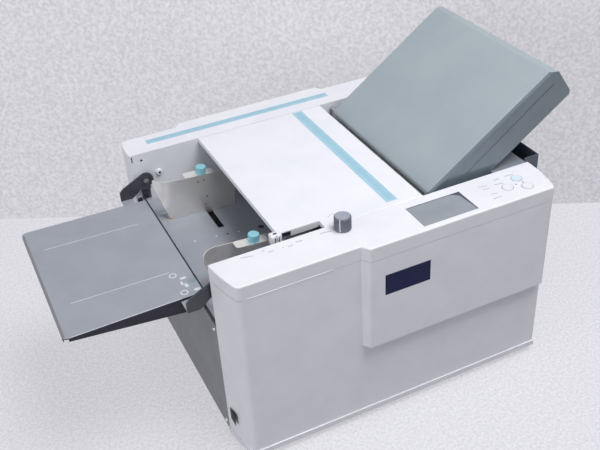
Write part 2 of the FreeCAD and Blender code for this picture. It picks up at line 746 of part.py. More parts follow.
def deck_left_x():
    """Where the deck stops short of the fold plate unit's underside."""
    slope = math.radians(UNIT_SLOPE)
    u = (DECK_Z - UNIT_Z + UNIT_THICKNESS * math.cos(slope)) / math.sin(slope)
    return unit_at(u, UNIT_THICKNESS)[0] + GAP / math.sin(slope)


def right_end_cover():
    """The dark deck at the right end with the end sheet below it and its exit slot."""
    left = deck_left_x()
    pieces = end_sheet(RIGHT_END_X, 1, DECK_Z)
    pieces.append(box(left, RIGHT_END_X, FRONT_WALL_Y, REAR_WALL_Y, DECK_Z - SHEET, DECK_Z))
    pieces.append(box(left, left + SHEET, FRONT_WALL_Y, REAR_WALL_Y, DECK_Z - DECK_LIP, DECK_Z))
    slot = box(RIGHT_END_X - WALL - OVERRUN, RIGHT_END_X + OVERRUN, FRONT_WALL_Y + EXIT_SLOT_SIDE,
               REAR_WALL_Y - EXIT_SLOT_SIDE, EXIT_SLOT_BOTTOM_Z, EXIT_SLOT_TOP_Z)
    return fused(pieces).cut(slot)


def screw_x(x, y, z, side):
    """A screw head seated on an end sheet."""
    return Part.makeCone(SCREW_R, SCREW_TOP_R, SCREW_HEIGHT, V(x, y, z), V(side, 0, 0))


def panel_screws():
    heads = []
    for y in (FRONT_WALL_Y + SCREW_INSET, REAR_WALL_Y - SCREW_INSET):
        for z in (FRAME_BOTTOM_Z + SCREW_INSET, PANEL_TOP_Z - SCREW_INSET):
            heads.append(screw_x(LEFT_END_X, y, z, -1))
        heads.append(screw_x(RIGHT_END_X, y, FRAME_BOTTOM_Z + SCREW_INSET, 1))
    return group(heads)


def wall_pin(cover, place, radius, far_y, shoulder_y=None, head_y=None):
    """A pin fixed in a side wall, with a shoulder or a head where one is asked for."""
    x, z = place
    pieces = [rod_y(x, z, radius, cover.wall_y, far_y)]
    if shoulder_y is not None:
        pieces.append(rod_y(x, z, PIN_SHOULDER_R, cover.wall_y, shoulder_y))
        pieces.append(rod_y(x, z, PIN_SHOULDER_R, head_y, far_y))
    return fused(pieces)


def arm_faces(cover):
    """The outer and inner face of a tray arm beside its wall."""
    outer = cover.wall_y - cover.side * ARM_WALL_GAP
    return outer, outer - cover.side * ARM_T


def wall_pins():
    """The pins in both walls that carry the tray, table, top cover, fold plate unit and lever."""
    pins = []
    for cover in SIDES:
        side = cover.side
        outer, inner = arm_faces(cover)
        head_y = inner - side * GAP
        tray_end_y = head_y - side * PIN_HEAD_T
        table_end_y = cover.wall_y - side * (TABLE_SIDE_GAP + SHEET + TABLE_PIN_PROUD)
        pins.append(wall_pin(cover, TRAY_PIN, TRAY_PIN_R, tray_end_y, outer + side * GAP, head_y))
        pins.append(wall_pin(cover, TABLE_PIN, TABLE_PIN_R, table_end_y))
        pins.append(wall_pin(cover, COVER_PIN, COVER_PIN_R, cover.wall_y - side * COVER_PIN_LENGTH))
        unit_y = UNIT_FRONT_Y if side < 0 else UNIT_REAR_Y
        pins.append(wall_pin(cover, UNIT_PIN, UNIT_PIN_R, unit_y - side * UNIT_PIN_REACH))
    lever_y = FRONT_WALL_Y + LEVER_HEAD_GAP + LEVER_HEAD_WIDTH
    pins.append(wall_pin(FRONT, LEVER_PIVOT, LEVER_PIN_R, lever_y))
    return group(pins)


def tray_stop_brackets():
    """The brackets on the walls that the tray's arms rest on."""
    brackets = []
    top_z = ARM_PIN_Z - ARM_EYE_R - GAP
    left = ARM_PIN_X - ARM_HEEL
    for cover in SIDES:
        inner = arm_faces(cover)[1]
        plate_y = cover.wall_y - cover.side * STOP_BRACKET_T
        right = left + STOP_BRACKET_LENGTH
        plate = box(left, right, cover.wall_y, plate_y, top_z - STOP_BRACKET_HEIGHT, top_z)
        finger = box(left, right, cover.wall_y, inner, top_z - STOP_FINGER_T, top_z)
        brackets.append(fused([plate, finger]))
    return group(brackets)


# Feed tray
def tray_edge_y(side, x):
    """The Y of the tray's edge at X: the tray narrows towards its hinge."""
    share = (LEFT_END_X + TRAY_GAP - x) / TRAY_LENGTH
    hinge_y = FRONT_WALL_Y + TRAY_FRONT_GAP if side < 0 else REAR_WALL_Y - TRAY_REAR_GAP
    return hinge_y + side * TRAY_FLARE * share


def tray_lip(side, left, right):
    """A lip turned down along one edge: deeper towards the hinge, then a strip up to it."""
    start_x = left + TRAY_CORNER_R
    deep_x = right - TRAY_LIP_BACK
    profile = ((start_x, 0), (right, 0), (right, TRAY_STRIP), (deep_x, TRAY_STRIP),
               (deep_x, TRAY_LIP_DEEP), (start_x, TRAY_LIP_SHALLOW))
    corners = [V(x, tray_edge_y(side, x), TRAY_Z - drop) for x, drop in profile]
    face = Part.Face(Part.makePolygon(corners + corners[:1]))
    return face.extrude(V(0, -side * SHEET, 0))


def feed_tray():
    """The tray sheet with its lips, and the tabs that its arms stand on."""
    right = LEFT_END_X + TRAY_GAP
    left = right - TRAY_LENGTH
    plan = outline(in_plan, (left, tray_edge_y(-1, left)), (right, tray_edge_y(-1, right)),
                   (right, tray_edge_y(1, right)), (left, tray_edge_y(1, left)))
    sheet = prism_z(plan, TRAY_Z - SHEET, TRAY_Z)
    sheet = round_edges(sheet, TRAY_CORNER_R, lambda edge: edge.BoundBox.ZLength > SHEET / 2
                        and middle_of(edge).x < left + SHEET)
    pieces = [sheet, tray_lip(-1, left, right), tray_lip(1, left, right)]
    lip_front = tray_edge_y(-1, left) + TRAY_CORNER_R
    lip_rear = tray_edge_y(1, left) - TRAY_CORNER_R
    pieces.append(box(left, left + SHEET, lip_front, lip_rear, TRAY_Z - TRAY_END_LIP, TRAY_Z))
    tab_x = ARM_PIN_X - ARM_REACH
    tab_z = TRAY_Z - ARM_DROP
    for cover in SIDES:
        root_y = tray_edge_y(cover.side, right) - cover.side * SHEET
        inner = arm_faces(cover)[1]
        pieces.append(box(tab_x, tab_x + ARM_TAB_LENGTH, root_y, inner, tab_z, tab_z + SHEET))
    return fused(pieces)


def tray_arms():
    """The two dark arms, each an eye on its wall pin and a foot against the tray's tab."""
    left = ARM_PIN_X - ARM_REACH
    eye = math.radians(ARM_EYE_ANGLE)
    top = (ARM_PIN_X - ARM_EYE_R * math.sin(eye), ARM_PIN_Z + ARM_EYE_R * math.cos(eye))
    bottom = (ARM_PIN_X, ARM_PIN_Z - ARM_EYE_R)
    foot_z = TRAY_Z - ARM_DROP
    tip_z = TRAY_Z + ARM_TIP_HEIGHT
    front_of_eye = (ARM_PIN_X + ARM_EYE_R, ARM_PIN_Z)
    face = outline(in_side, (left, foot_z), (left, tip_z), (left + ARM_TIP_CHAMFER, tip_z + ARM_TIP_CHAMFER),
                   top, (front_of_eye, bottom), (ARM_PIN_X - ARM_HEEL, bottom[1]),
                   (left + ARM_FOOT_LENGTH, foot_z))
    arms = []
    for cover in SIDES:
        outer, inner = arm_faces(cover)
        bore = rod_y(ARM_PIN_X, ARM_PIN_Z, TRAY_PIN_R + RUN, cover.wall_y, inner - cover.side * OVERRUN)
        arms.append(prism_y(face, outer, inner).cut(bore))
    return group(arms)


# Paper table and guides: made level, then tilted about the table's hinge
def tilted(shape):
    turned = shape.copy()
    turned.rotate(V(TABLE_HINGE_X, 0, TABLE_HINGE_Z), V(0, 1, 0), TABLE_TILT)
    return turned


def slot_x():
    return TABLE_LEFT_X + SLOT_LEFT_OFFSET


def paper_table():
    """The sheet that the paper lies on, with turned down edges and the guides' slots."""
    front = FRONT_WALL_Y + TABLE_SIDE_GAP
    rear = REAR_WALL_Y - TABLE_SIDE_GAP
    flange_z = TABLE_TOP_Z - TABLE_FLANGE
    block = box(TABLE_LEFT_X, TABLE_RIGHT_X, front, rear, flange_z, TABLE_TOP_Z)
    inside = box(TABLE_LEFT_X + SHEET, TABLE_RIGHT_X - SHEET, front + SHEET, rear - SHEET,
                 flange_z - OVERRUN, TABLE_TOP_Z - SHEET)
    table = block.cut(inside)
    x = slot_x()
    under_z = TABLE_TOP_Z - OVERRUN
    over_z = TABLE_TOP_Z + OVERRUN
    slots = ((PAPER_Y + REAR_SLOT_START, rear - SLOT_EDGE), (PAPER_Y - FRONT_SLOT_START, front + SLOT_EDGE))
    for near_y, far_y in slots:
        table = table.cut(box(x, x + SLOT_WIDTH, near_y, far_y, under_z, over_z))
    sensor_x = TABLE_HINGE_X + SENSOR_OFFSET_X
    table = table.cut(rod_z(sensor_x, PAPER_Y + SENSOR_OFFSET_Y, SENSOR_HOLE_R, under_z, over_z))
    bore = rod_y(TABLE_HINGE_X, TABLE_HINGE_Z, TABLE_PIN_R + RUN, front - OVERRUN, rear + OVERRUN)
    return tilted(table.cut(bore))


def guide_plan():
    """The rear guide's wall in plan: straight, then bent outward at its feed end."""
    y = PAPER_Y + GUIDE_SPREAD
    half_turn = math.atan2(GUIDE_FLARE_OUT, GUIDE_FLARE_LENGTH)
    inner_r = GUIDE_FLARE_LENGTH / math.sin(2 * half_turn)
    outer_r = inner_r - GUIDE_T

    def on_arc(radius, angle):
        return GUIDE_STRAIGHT_LEFT_X - radius * math.sin(angle), y + inner_r - radius * math.cos(angle)

    turn = 2 * half_turn
    return outline(in_plan, (GUIDE_RIGHT_X, y), (GUIDE_STRAIGHT_LEFT_X, y),
                   (on_arc(inner_r, half_turn), on_arc(inner_r, turn)), on_arc(outer_r, turn),
                   (on_arc(outer_r, half_turn), on_arc(outer_r, 0)), (GUIDE_RIGHT_X, y + GUIDE_T))


def rear_guide():
    """The rear guide: wall, foot, stem through the table's slot, washer, and the lock knob's wing."""
    y = PAPER_Y + GUIDE_SPREAD
    foot_z = TABLE_TOP_Z + GAP
    top_z = TABLE_TOP_Z + GUIDE_HEIGHT
    wall = prism_z(guide_plan(), foot_z, top_z)
    flare_x = GUIDE_STRAIGHT_LEFT_X - GUIDE_FLARE_LENGTH
    bend_x = GUIDE_STRAIGHT_LEFT_X
    arc_x, arc_z = step_from((bend_x, foot_z + GUIDE_CORNER), GUIDE_CORNER_ANGLE, GUIDE_CORNER)
    soft_z = top_z - GUIDE_CORNER
    under_z = foot_z - OVERRUN
    corner = outline(in_side, (flare_x - OVERRUN, under_z), (bend_x, under_z), (bend_x, foot_z),
                     ((arc_x, arc_z), (bend_x - GUIDE_CORNER, foot_z + GUIDE_CORNER)),
                     (flare_x, soft_z), (flare_x - OVERRUN, soft_z))
    wall = wall.cut(prism_y(corner, y - OVERRUN, y + GUIDE_FLARE_OUT + OVERRUN))
    foot_y = y + GUIDE_T + GUIDE_FOOT
    floor_z = foot_z + GUIDE_T
    pieces = [wall, box(bend_x, GUIDE_RIGHT_X, y, foot_y, foot_z, floor_z)]
    stem_x = slot_x() + (SLOT_WIDTH - GUIDE_STEM_LENGTH) / 2
    stem_end_x = stem_x + GUIDE_STEM_LENGTH
    stem_y = y + GUIDE_T + GUIDE_STEM_INSET
    washer_z = TABLE_TOP_Z - SHEET - GAP
    washer_low_z = washer_z - SHEET
    pieces.append(box(stem_x, stem_end_x, stem_y, stem_y + GUIDE_STEM_WIDTH, washer_low_z, floor_z))
    pieces.append(box(stem_x - GUIDE_WASHER_SIDE, stem_end_x + GUIDE_WASHER_SIDE, y, foot_y,
                      washer_low_z, washer_z))
    wing_right_x = WING_LEFT_X + WING_LENGTH
    wing = box(WING_LEFT_X, wing_right_x, y, y + GUIDE_T + WING_WIDTH, top_z - GUIDE_T, top_z)
    wing = round_edges(wing, WING_CORNER_R, lambda edge: edge.BoundBox.ZLength > GUIDE_T / 2
                       and middle_of(edge).y > y + WING_WIDTH)
    stud_r = LOCK_STUD_R + RUN
    pieces.append(wing.cut(rod_z(LOCK_X, y + GUIDE_T + LOCK_OUT, stud_r, top_z - OVERRUN, top_z + OVERRUN)))
    return fused(pieces)


def rear_lock_knob():
    """The lock knob, with the stud that clamps the guide."""
    y = PAPER_Y + GUIDE_SPREAD + GUIDE_T + LOCK_OUT
    base_z = TABLE_TOP_Z + GUIDE_HEIGHT + GAP
    knob = rod_z(LOCK_X, y, LOCK_R, base_z, base_z + LOCK_HEIGHT)
    knob = bevel_edges(knob, LOCK_BEVEL, lambda edge: middle_of(edge).z > base_z + LOCK_HEIGHT - TOUCH)
    return fused([knob, rod_z(LOCK_X, y, LOCK_STUD_R, base_z - LOCK_STUD_LENGTH, base_z)])


def opposite(shape):
    """The same piece on the other side of the paper's middle."""
    return shape.mirror(V(0, PAPER_Y, 0), V(0, 1, 0))


# Top cover and lever
def top_cover():
    """The white lid over the feed roller, with skirts all round, hinge lugs and the lever's notch."""
    front = FRONT_WALL_Y + COVER_SIDE_GAP
    rear = REAR_WALL_Y - COVER_SIDE_GAP
    notch_x = COVER_LEFT_X + LEVER_NOTCH_LENGTH
    notch_y = FRONT_WALL_Y + LEVER_NOTCH_DEPTH

    def plan(inset):
        return outline(in_plan, (COVER_LEFT_X + inset, notch_y + inset), (notch_x + inset, notch_y + inset),
                       (notch_x + inset, front + inset), (COVER_RIGHT_X - inset, front + inset),
                       (COVER_RIGHT_X - inset, rear - inset), (COVER_LEFT_X + inset, rear - inset))

    block = prism_z(plan(0), COVER_TOP_Z - COVER_SKIRT, COVER_TOP_Z)

    def at_top(edge):
        return middle_of(edge).z > COVER_TOP_Z - TOUCH

    block = round_edges(block, COVER_ROUND_R, at_top)
    lid = block.cut(prism_z(plan(COVER_SKIRT_T), COVER_TOP_Z - COVER_SKIRT - OVERRUN, CAP_UNDER_Z))
    pieces = [lid]
    for y, side in ((front, 1), (rear, -1)):
        lug_y = y + side * COVER_SKIRT_T
        pieces.append(box(COVER_RIGHT_X - COVER_LUG_LENGTH, COVER_RIGHT_X, y, lug_y,
                          COVER_TOP_Z - COVER_LUG_DROP, CAP_UNDER_Z))
    lid = fused(pieces)
    return lid.cut(rod_y(COVER_PIN[0], COVER_PIN[1], COVER_PIN_R + RUN, front - OVERRUN, rear + OVERRUN))


def release_lever():
    """The white lever: grooved head in the cover's notch, flat stem, hub on its wall pin."""
    head_x = LEVER_HEAD_X - LEVER_HEAD_LENGTH / 2
    head_y = FRONT_WALL_Y + LEVER_HEAD_GAP
    head_z = LEVER_HEAD_TOP_Z - LEVER_HEAD_HEIGHT
    head = box(head_x, head_x + LEVER_HEAD_LENGTH, head_y, head_y + LEVER_HEAD_WIDTH,
               head_z, LEVER_HEAD_TOP_Z)
    head = round_edges(head, LEVER_HEAD_R, lambda edge: middle_of(edge).z > head_z + TOUCH)
    groove_x = LEVER_HEAD_X - LEVER_GROOVE / 2
    head = head.cut(box(groove_x, groove_x + LEVER_GROOVE, head_y - OVERRUN, head_y + LEVER_GROOVE,
                        head_z + LEVER_GROOVE, LEVER_HEAD_TOP_Z + OVERRUN))
    stem_y = head_y + (LEVER_HEAD_WIDTH - LEVER_STEM_T) / 2
    rise = head_z + LEVER_GROOVE - LEVER_PIVOT_Z
    run = LEVER_HEAD_X - LEVER_PIVOT_X
    across = LEVER_STEM_WIDTH / 2 / math.cos(math.atan2(run, rise))
    stem_z = LEVER_PIVOT_Z + rise
    stem = outline(in_side, (LEVER_PIVOT_X - across, LEVER_PIVOT_Z), (LEVER_PIVOT_X + across, LEVER_PIVOT_Z),
                   (LEVER_HEAD_X + across, stem_z), (LEVER_HEAD_X - across, stem_z))
    hub = rod_y(LEVER_PIVOT_X, LEVER_PIVOT_Z, LEVER_HUB_R, stem_y, stem_y + LEVER_STEM_T)
    lever = fused([head, prism_y(stem, stem_y, stem_y + LEVER_STEM_T), hub])
    return lever.cut(rod_y(LEVER_PIVOT_X, LEVER_PIVOT_Z, LEVER_PIN_R + RUN, stem_y - OVERRUN,
                           stem_y + LEVER_STEM_T + OVERRUN))


# Control panel
def display_screen():
    """The display: a glass that fills the window, on a module that stands on the board."""
    glass = display_box(0, CAP_UNDER_Z, COVER_TOP_Z - DISPLAY_SINK)
    return fused([glass, display_box(DISPLAY_LIP, CAP_UNDER_Z - BOARD_DROP, CAP_UNDER_Z)])


def control_board():
    left, right, front, rear = board_corners()
    top_z = CAP_UNDER_Z - BOARD_DROP
    return box(left, right, front, rear, top_z - BOARD_T, top_z)


def panel_button(place):
    """A push button with the flange that holds it under the cap."""
    x, y = place
    top_z = COVER_TOP_Z + BUTTON_PROUD
    flange_z = CAP_UNDER_Z - GAP
    head = rod_z(x, y, BUTTON_R, flange_z, top_z)
    head = bevel_edges(head, BUTTON_BEVEL, lambda edge: middle_of(edge).z > top_z - TOUCH)
    return fused([head, rod_z(x, y, BUTTON_R + BUTTON_FLANGE, flange_z - BUTTON_FLANGE_T, flange_z)])


def adjust_knob():
    """The adjusting knob on its shaft."""
    x, y = KNOB_PLACE
    base_z = COVER_TOP_Z + KNOB_FLOAT
    knob = rod_z(x, y, KNOB_R, base_z, base_z + KNOB_HEIGHT)
    knob = bevel_edges(knob, KNOB_BEVEL, lambda edge: middle_of(edge).z > base_z + KNOB_HEIGHT - TOUCH)
    return fused([knob, rod_z(x, y, KNOB_SHAFT_R, encoder_bore_z() + GAP, base_z)])


def encoder_bore_z():
    return CAP_UNDER_Z - ENCODER_HEIGHT + ENCODER_FLOOR


def knob_encoder():
    x, y = KNOB_PLACE
    half = ENCODER_SIZE / 2
    body = box(x - half, x + half, y - half, y + half, CAP_UNDER_Z - ENCODER_HEIGHT, CAP_UNDER_Z)
    return body.cut(rod_z(x, y, KNOB_SHAFT_R + RUN, encoder_bore_z(), CAP_UNDER_Z + OVERRUN))


# Fold plate unit
def unit_prism(points, y0, y1):
    """A block of the unit from its outline in the slope's own u and v."""
    return prism_y(outline(in_side, *[unit_at(u, v) for u, v in points]), y0, y1)


def unit_direction():
    slope = math.radians(UNIT_SLOPE)
    return V(math.cos(slope), 0, math.sin(slope))


def runs_through_thickness(edge):
    ends = edge.Vertexes
    if len(ends) < 2:
        return False
    along = ends[1].Point.sub(ends[0].Point)
    return along.Length > SHEET and abs(along.dot(unit_direction())) < TOUCH and abs(along.y) < TOUCH


def fold_unit_upper_shell():
    """The grey upper shell with its bevelled end, open along the seam and with a mouth for the paper."""
    bevel_u = UNIT_LENGTH - UNIT_BEVEL_LENGTH
    block = unit_prism([(0, UNIT_SEAM_V), (0, 0), (bevel_u, 0), (UNIT_LENGTH, UNIT_BEVEL_DROP),
                        (UNIT_LENGTH, UNIT_SEAM_V)], UNIT_FRONT_Y, UNIT_REAR_Y)

    def lies_at(edge, place):
        middle = middle_of(edge)
        return math.hypot(middle.x - place[0], middle.z - place[1]) < SHEET

    def at_low_corner(edge):
        return runs_through_thickness(edge) and lies_at(edge, unit_at(0, UNIT_SEAM_V / 2))

    def at_low_edge(edge):
        return edge.BoundBox.YLength > UNIT_CORNER_R and lies_at(edge, unit_at(0, 0))

    block = round_edges(block, UNIT_CORNER_R, at_low_corner)
    block = round_edges(block, UNIT_LOW_EDGE_R, at_low_edge)
    end_u = UNIT_LENGTH - UNIT_WALL
    inside = unit_prism([(UNIT_WALL, UNIT_SEAM_V + OVERRUN), (UNIT_WALL, UNIT_WALL), (bevel_u, UNIT_WALL),
                         (end_u, UNIT_BEVEL_DROP + UNIT_WALL), (end_u, UNIT_SEAM_V + OVERRUN)],
                        UNIT_FRONT_Y + UNIT_WALL, UNIT_REAR_Y - UNIT_WALL)
    mouth_v = UNIT_SEAM_V - UNIT_MOUTH_RISE
    below_v = UNIT_SEAM_V + OVERRUN
    mouth = unit_prism([(-OVERRUN, mouth_v), (-OVERRUN, below_v), (UNIT_CORNER_R, below_v),
                        (UNIT_CORNER_R, mouth_v)], UNIT_FRONT_Y + UNIT_CORNER_R, UNIT_REAR_Y - UNIT_CORNER_R)
    shell = block.cut(inside).cut(mouth)
    pin = rod_y(UNIT_PIN[0], UNIT_PIN[1], UNIT_PIN_R + RUN, UNIT_FRONT_Y - OVERRUN, UNIT_REAR_Y + OVERRUN)
    return shell.cut(pin)


def fold_unit_lower_shell():
    """The lower shell, which starts further up the slope to leave the rollers room."""
    foot_u = LOWER_SHELL_START + LOWER_SHELL_RAKE
    end_u = UNIT_LENGTH - UNIT_WALL
    soft_u = UNIT_LENGTH - LOWER_SHELL_CORNER
    soft_v = UNIT_THICKNESS - LOWER_SHELL_CORNER
    block = unit_prism([(LOWER_SHELL_START, UNIT_SEAM_V), (foot_u, UNIT_THICKNESS), (soft_u, UNIT_THICKNESS),
                        (UNIT_LENGTH, soft_v), (UNIT_LENGTH, UNIT_SEAM_V)], UNIT_FRONT_Y, UNIT_REAR_Y)
    inner_v = UNIT_THICKNESS - UNIT_WALL
    inner_u = foot_u + UNIT_WALL
    above_v = UNIT_SEAM_V - OVERRUN
    inside = unit_prism([(inner_u, above_v), (inner_u, inner_v), (soft_u - UNIT_WALL, inner_v),
                         (end_u, soft_v - UNIT_WALL), (end_u, above_v)],
                        UNIT_FRONT_Y + UNIT_WALL, UNIT_REAR_Y - UNIT_WALL)
    plate_v = UNIT_SEAM_V + PLATE_GAP / 2 + PLATE_T
    rebate_u = LOWER_SHELL_START - OVERRUN
    rebate = unit_prism([(rebate_u, above_v), (rebate_u, plate_v), (foot_u + OVERRUN, plate_v),
                         (foot_u + OVERRUN, above_v)], UNIT_FRONT_Y + UNIT_WALL, UNIT_REAR_Y - UNIT_WALL)
    return block.cut(inside).cut(rebate)


def plate_slots(y):
    return (y - PLATE_SLOT_SPREAD, y + PLATE_SLOT_SPREAD)


def upper_fold_plates():
    """The two sheets that the paper runs up between. The lower one is slotted for the stop."""
    front = UNIT_FRONT_Y + UNIT_WALL
    rear = UNIT_REAR_Y - UNIT_WALL
    end_u = UNIT_LENGTH - PLATE_END_GAP
    plates = []
    for side in (-1, 1):
        near_v = UNIT_SEAM_V + side * PLATE_GAP / 2
        far_v = near_v + side * PLATE_T
        plates.append(unit_prism([(-PLATE_TIP, near_v), (-PLATE_TIP, far_v), (end_u, far_v), (end_u, near_v)],
                                 front, rear))
    above_v = UNIT_SEAM_V - OVERRUN
    below_v = UNIT_SEAM_V + OVERRUN
    tip_u = -PLATE_TIP - OVERRUN
    corner_sides = ((front - OVERRUN, UNIT_FRONT_Y + UNIT_CORNER_R),
                    (UNIT_REAR_Y - UNIT_CORNER_R, rear + OVERRUN))
    for y0, y1 in corner_sides:
        corner = unit_prism([(tip_u, above_v), (tip_u, below_v), (UNIT_CORNER_R, below_v),
                             (UNIT_CORNER_R, above_v)], y0, y1)
        plates = [plate.cut(corner) for plate in plates]
    slot_low = STOP_U - STOP_TRAVEL_DOWN - STOP_BLOCK
    slot_high = STOP_U + STOP_TRAVEL_UP + STOP_BLOCK
    for y in plate_slots(UNIT_MIDDLE_Y):
        slot = unit_prism([(slot_low, UNIT_SEAM_V), (slot_low, UNIT_SEAM_V + OVERRUN),
                           (slot_high, UNIT_SEAM_V + OVERRUN), (slot_high, UNIT_SEAM_V)],
                          y - PLATE_SLOT_WIDTH / 2, y + PLATE_SLOT_WIDTH / 2)
        plates[1] = plates[1].cut(slot)
    return group(plates)


def unit_rod(u0, u1, v, radius, y):
    x, z = unit_at(u0, v)
    return Part.makeCylinder(radius, u1 - u0, V(x, y, z), unit_direction())


def stop_guide_rods():
    start = LOWER_SHELL_START + LOWER_SHELL_RAKE + UNIT_WALL
    end = UNIT_LENGTH - UNIT_WALL
    return group([unit_rod(start, end, ROD_V, ROD_R, y) for y in plate_slots(UNIT_MIDDLE_Y)])


def upper_fold_stop():
    """The bar that the paper's edge meets, and its two blocks on the rods."""
    low_v = UNIT_SEAM_V - PLATE_GAP / 2 + GAP
    high_v = UNIT_SEAM_V + PLATE_GAP / 2 - GAP
    end = STOP_U + STOP_LENGTH
    pieces = [unit_prism([(STOP_U, low_v), (STOP_U, high_v), (end, high_v), (end, low_v)],
                         UNIT_MIDDLE_Y - STOP_HALF, UNIT_MIDDLE_Y + STOP_HALF)]
    block_v = ROD_V - STOP_BLOCK / 2
    block_end_v = ROD_V + STOP_BLOCK / 2
    block_u = STOP_U + STOP_BLOCK
    for y in plate_slots(UNIT_MIDDLE_Y):
        pieces.append(unit_prism([(STOP_U, low_v), (STOP_U, ROD_V), (end, ROD_V), (end, low_v)],
                                 y - STOP_LINK_WIDTH / 2, y + STOP_LINK_WIDTH / 2))
        pieces.append(unit_prism([(STOP_U, block_v), (STOP_U, block_end_v), (block_u, block_end_v),
                                  (block_u, block_v)], y - STOP_BLOCK / 2, y + STOP_BLOCK / 2))
    stop = fused(pieces)
    for y in plate_slots(UNIT_MIDDLE_Y):
        stop = stop.cut(unit_rod(STOP_U - OVERRUN, block_u + OVERRUN, ROD_V, ROD_R + RUN, y))
    return stop


# Rollers, gears and drive
def fold_roller(place, rear_y):
    """A fold roller with its shaft, which reaches its gear behind the rear wall."""
    x, z = place
    body = rod_y(x, z, FOLD_R, FRONT_WALL_Y + ROLLER_END_GAP, REAR_WALL_Y - ROLLER_END_GAP)
    return fused([body, rod_y(x, z, SHAFT_R, FRONT_WALL_Y - FRAME_T - SHAFT_OUT, rear_y)])


def mesh_phase(angle, phase, teeth):
    """The turn of a gear that meshes with an equal gear, at an angle from it, turned by phase."""
    return 2 * angle + math.pi - phase - math.pi / teeth


def gear_phases():
    phases = [0.0]
    for here, there in zip(FOLD_ROLLERS, FOLD_ROLLERS[1:]):
        angle = math.atan2(there[1] - here[1], there[0] - here[0])
        phases.append(mesh_phase(angle, phases[-1], GEAR_TEETH))
    return phases


def spur_gear(place, phase):
    """A spur gear with straight-sided teeth, bored for the shaft."""
    pitch_r = ROLLER_PITCH / 2
    tip_r = pitch_r + GEAR_ADDENDUM
    root_r = pitch_r - GEAR_DEDENDUM
    half = (2 * math.pi * pitch_r / GEAR_TEETH / 2 - GEAR_BACKLASH) / 2
    flank = math.tan(math.radians(GEAR_PRESSURE_ANGLE))
    tip_half = math.atan2(half - GEAR_ADDENDUM * flank, tip_r)
    root_half = math.atan2(half + GEAR_DEDENDUM * flank, root_r)
    profile = ((root_r, -root_half), (tip_r, -tip_half), (tip_r, tip_half), (root_r, root_half))
    points = []
    for tooth in range(GEAR_TEETH):
        middle = phase + 2 * math.pi * tooth / GEAR_TEETH
        for radius, offset in profile:
            angle = middle + offset
            points.append((place[0] + radius * math.cos(angle), place[1] + radius * math.sin(angle)))
    blank = prism_y(outline(in_side, *points), GEAR_Y, GEAR_Y + GEAR_WIDTH)
    return blank.cut(rod_y(place[0], place[1], SHAFT_R, GEAR_Y - OVERRUN, GEAR_Y + GEAR_WIDTH + OVERRUN))


def gear_with_pulley(place, phase, radius, pulley_y, width):
    """A gear made in one with a belt pulley beside it."""
    gear = spur_gear(place, phase)
    hub = rod_y(place[0], place[1], EXIT_DRIVE_R, GEAR_Y + GEAR_WIDTH, pulley_y + width)
    pulley = rod_y(place[0], place[1], radius, pulley_y, pulley_y + width)
    whole = fused([gear, hub, pulley])
    return whole.cut(rod_y(place[0], place[1], SHAFT_R, GEAR_Y, pulley_y + width + OVERRUN))


def belt_loop(big, big_r, small, small_r, y0, y1):
    """A belt round two pulleys, clear of both by a running gap."""
    def hull(extra):
        span = math.hypot(small[0] - big[0], small[1] - big[1])
        heading = math.atan2(small[1] - big[1], small[0] - big[0])
        lean = math.acos((big_r - small_r) / span)
        big_reach = big_r + extra
        small_reach = small_r + extra
        ends = ((big, big_reach, 1), (small, small_reach, 1), (small, small_reach, -1), (big, big_reach, -1))
        points = []
        for centre, reach, sign in ends:
            angle = heading + sign * lean
            points.append((centre[0] + reach * math.cos(angle), centre[1] + reach * math.sin(angle)))
        nose = (small[0] + small_reach * math.cos(heading), small[1] + small_reach * math.sin(heading))
        tail = (big[0] - big_reach * math.cos(heading), big[1] - big_reach * math.sin(heading))
        edges = [Part.LineSegment(in_side(*points[0]), in_side(*points[1])).toShape(),
                 Part.Arc(in_side(*points[1]), in_side(*nose), in_side(*points[2])).toShape(),
                 Part.LineSegment(in_side(*points[2]), in_side(*points[3])).toShape(),
                 Part.Arc(in_side(*points[3]), in_side(*tail), in_side(*points[0])).toShape()]
        return Part.Face(Part.Wire(edges))

    outer = prism_y(hull(RUN + BELT_T), y0, y1)
    return outer.cut(prism_y(hull(RUN), y0 - OVERRUN, y1 + OVERRUN))


def drive_motor():
    """The motor, flanged to the rear wall, with the bore that its shaft runs in."""
    body = rod_y(MOTOR_X, MOTOR_Z, MOTOR_R, REAR_WALL_Y - MOTOR_LENGTH, REAR_WALL_Y)
    bore_y = REAR_WALL_Y - MOTOR_SHAFT_BORE
    return body.cut(rod_y(MOTOR_X, MOTOR_Z, MOTOR_SHAFT_R + RUN, bore_y, REAR_WALL_Y + OVERRUN))


def motor_pulley():
    end_y = DRIVE_PULLEY_Y + DRIVE_PULLEY_WIDTH
    shaft = rod_y(MOTOR_X, MOTOR_Z, MOTOR_SHAFT_R, REAR_WALL_Y - MOTOR_SHAFT_BORE + GAP, end_y)
    return fused([shaft, rod_y(MOTOR_X, MOTOR_Z, MOTOR_PULLEY_R, DRIVE_PULLEY_Y, end_y)])


def roller_bearings():
    """A plain bearing in each wall for every fold roller and the feed roller."""
    rings = []
    for cover in SIDES:
        far_y = cover.wall_y + cover.side * (FRAME_T + BEARING_PROUD)
        for x, z in FOLD_ROLLERS + (FEED_PLACE,):
            ring = rod_y(x, z, BEARING_R, cover.wall_y, far_y)
            rings.append(ring.cut(rod_y(x, z, SHAFT_R + RUN, cover.wall_y - OVERRUN * cover.side,
                                        far_y + OVERRUN * cover.side)))
    return group(rings)


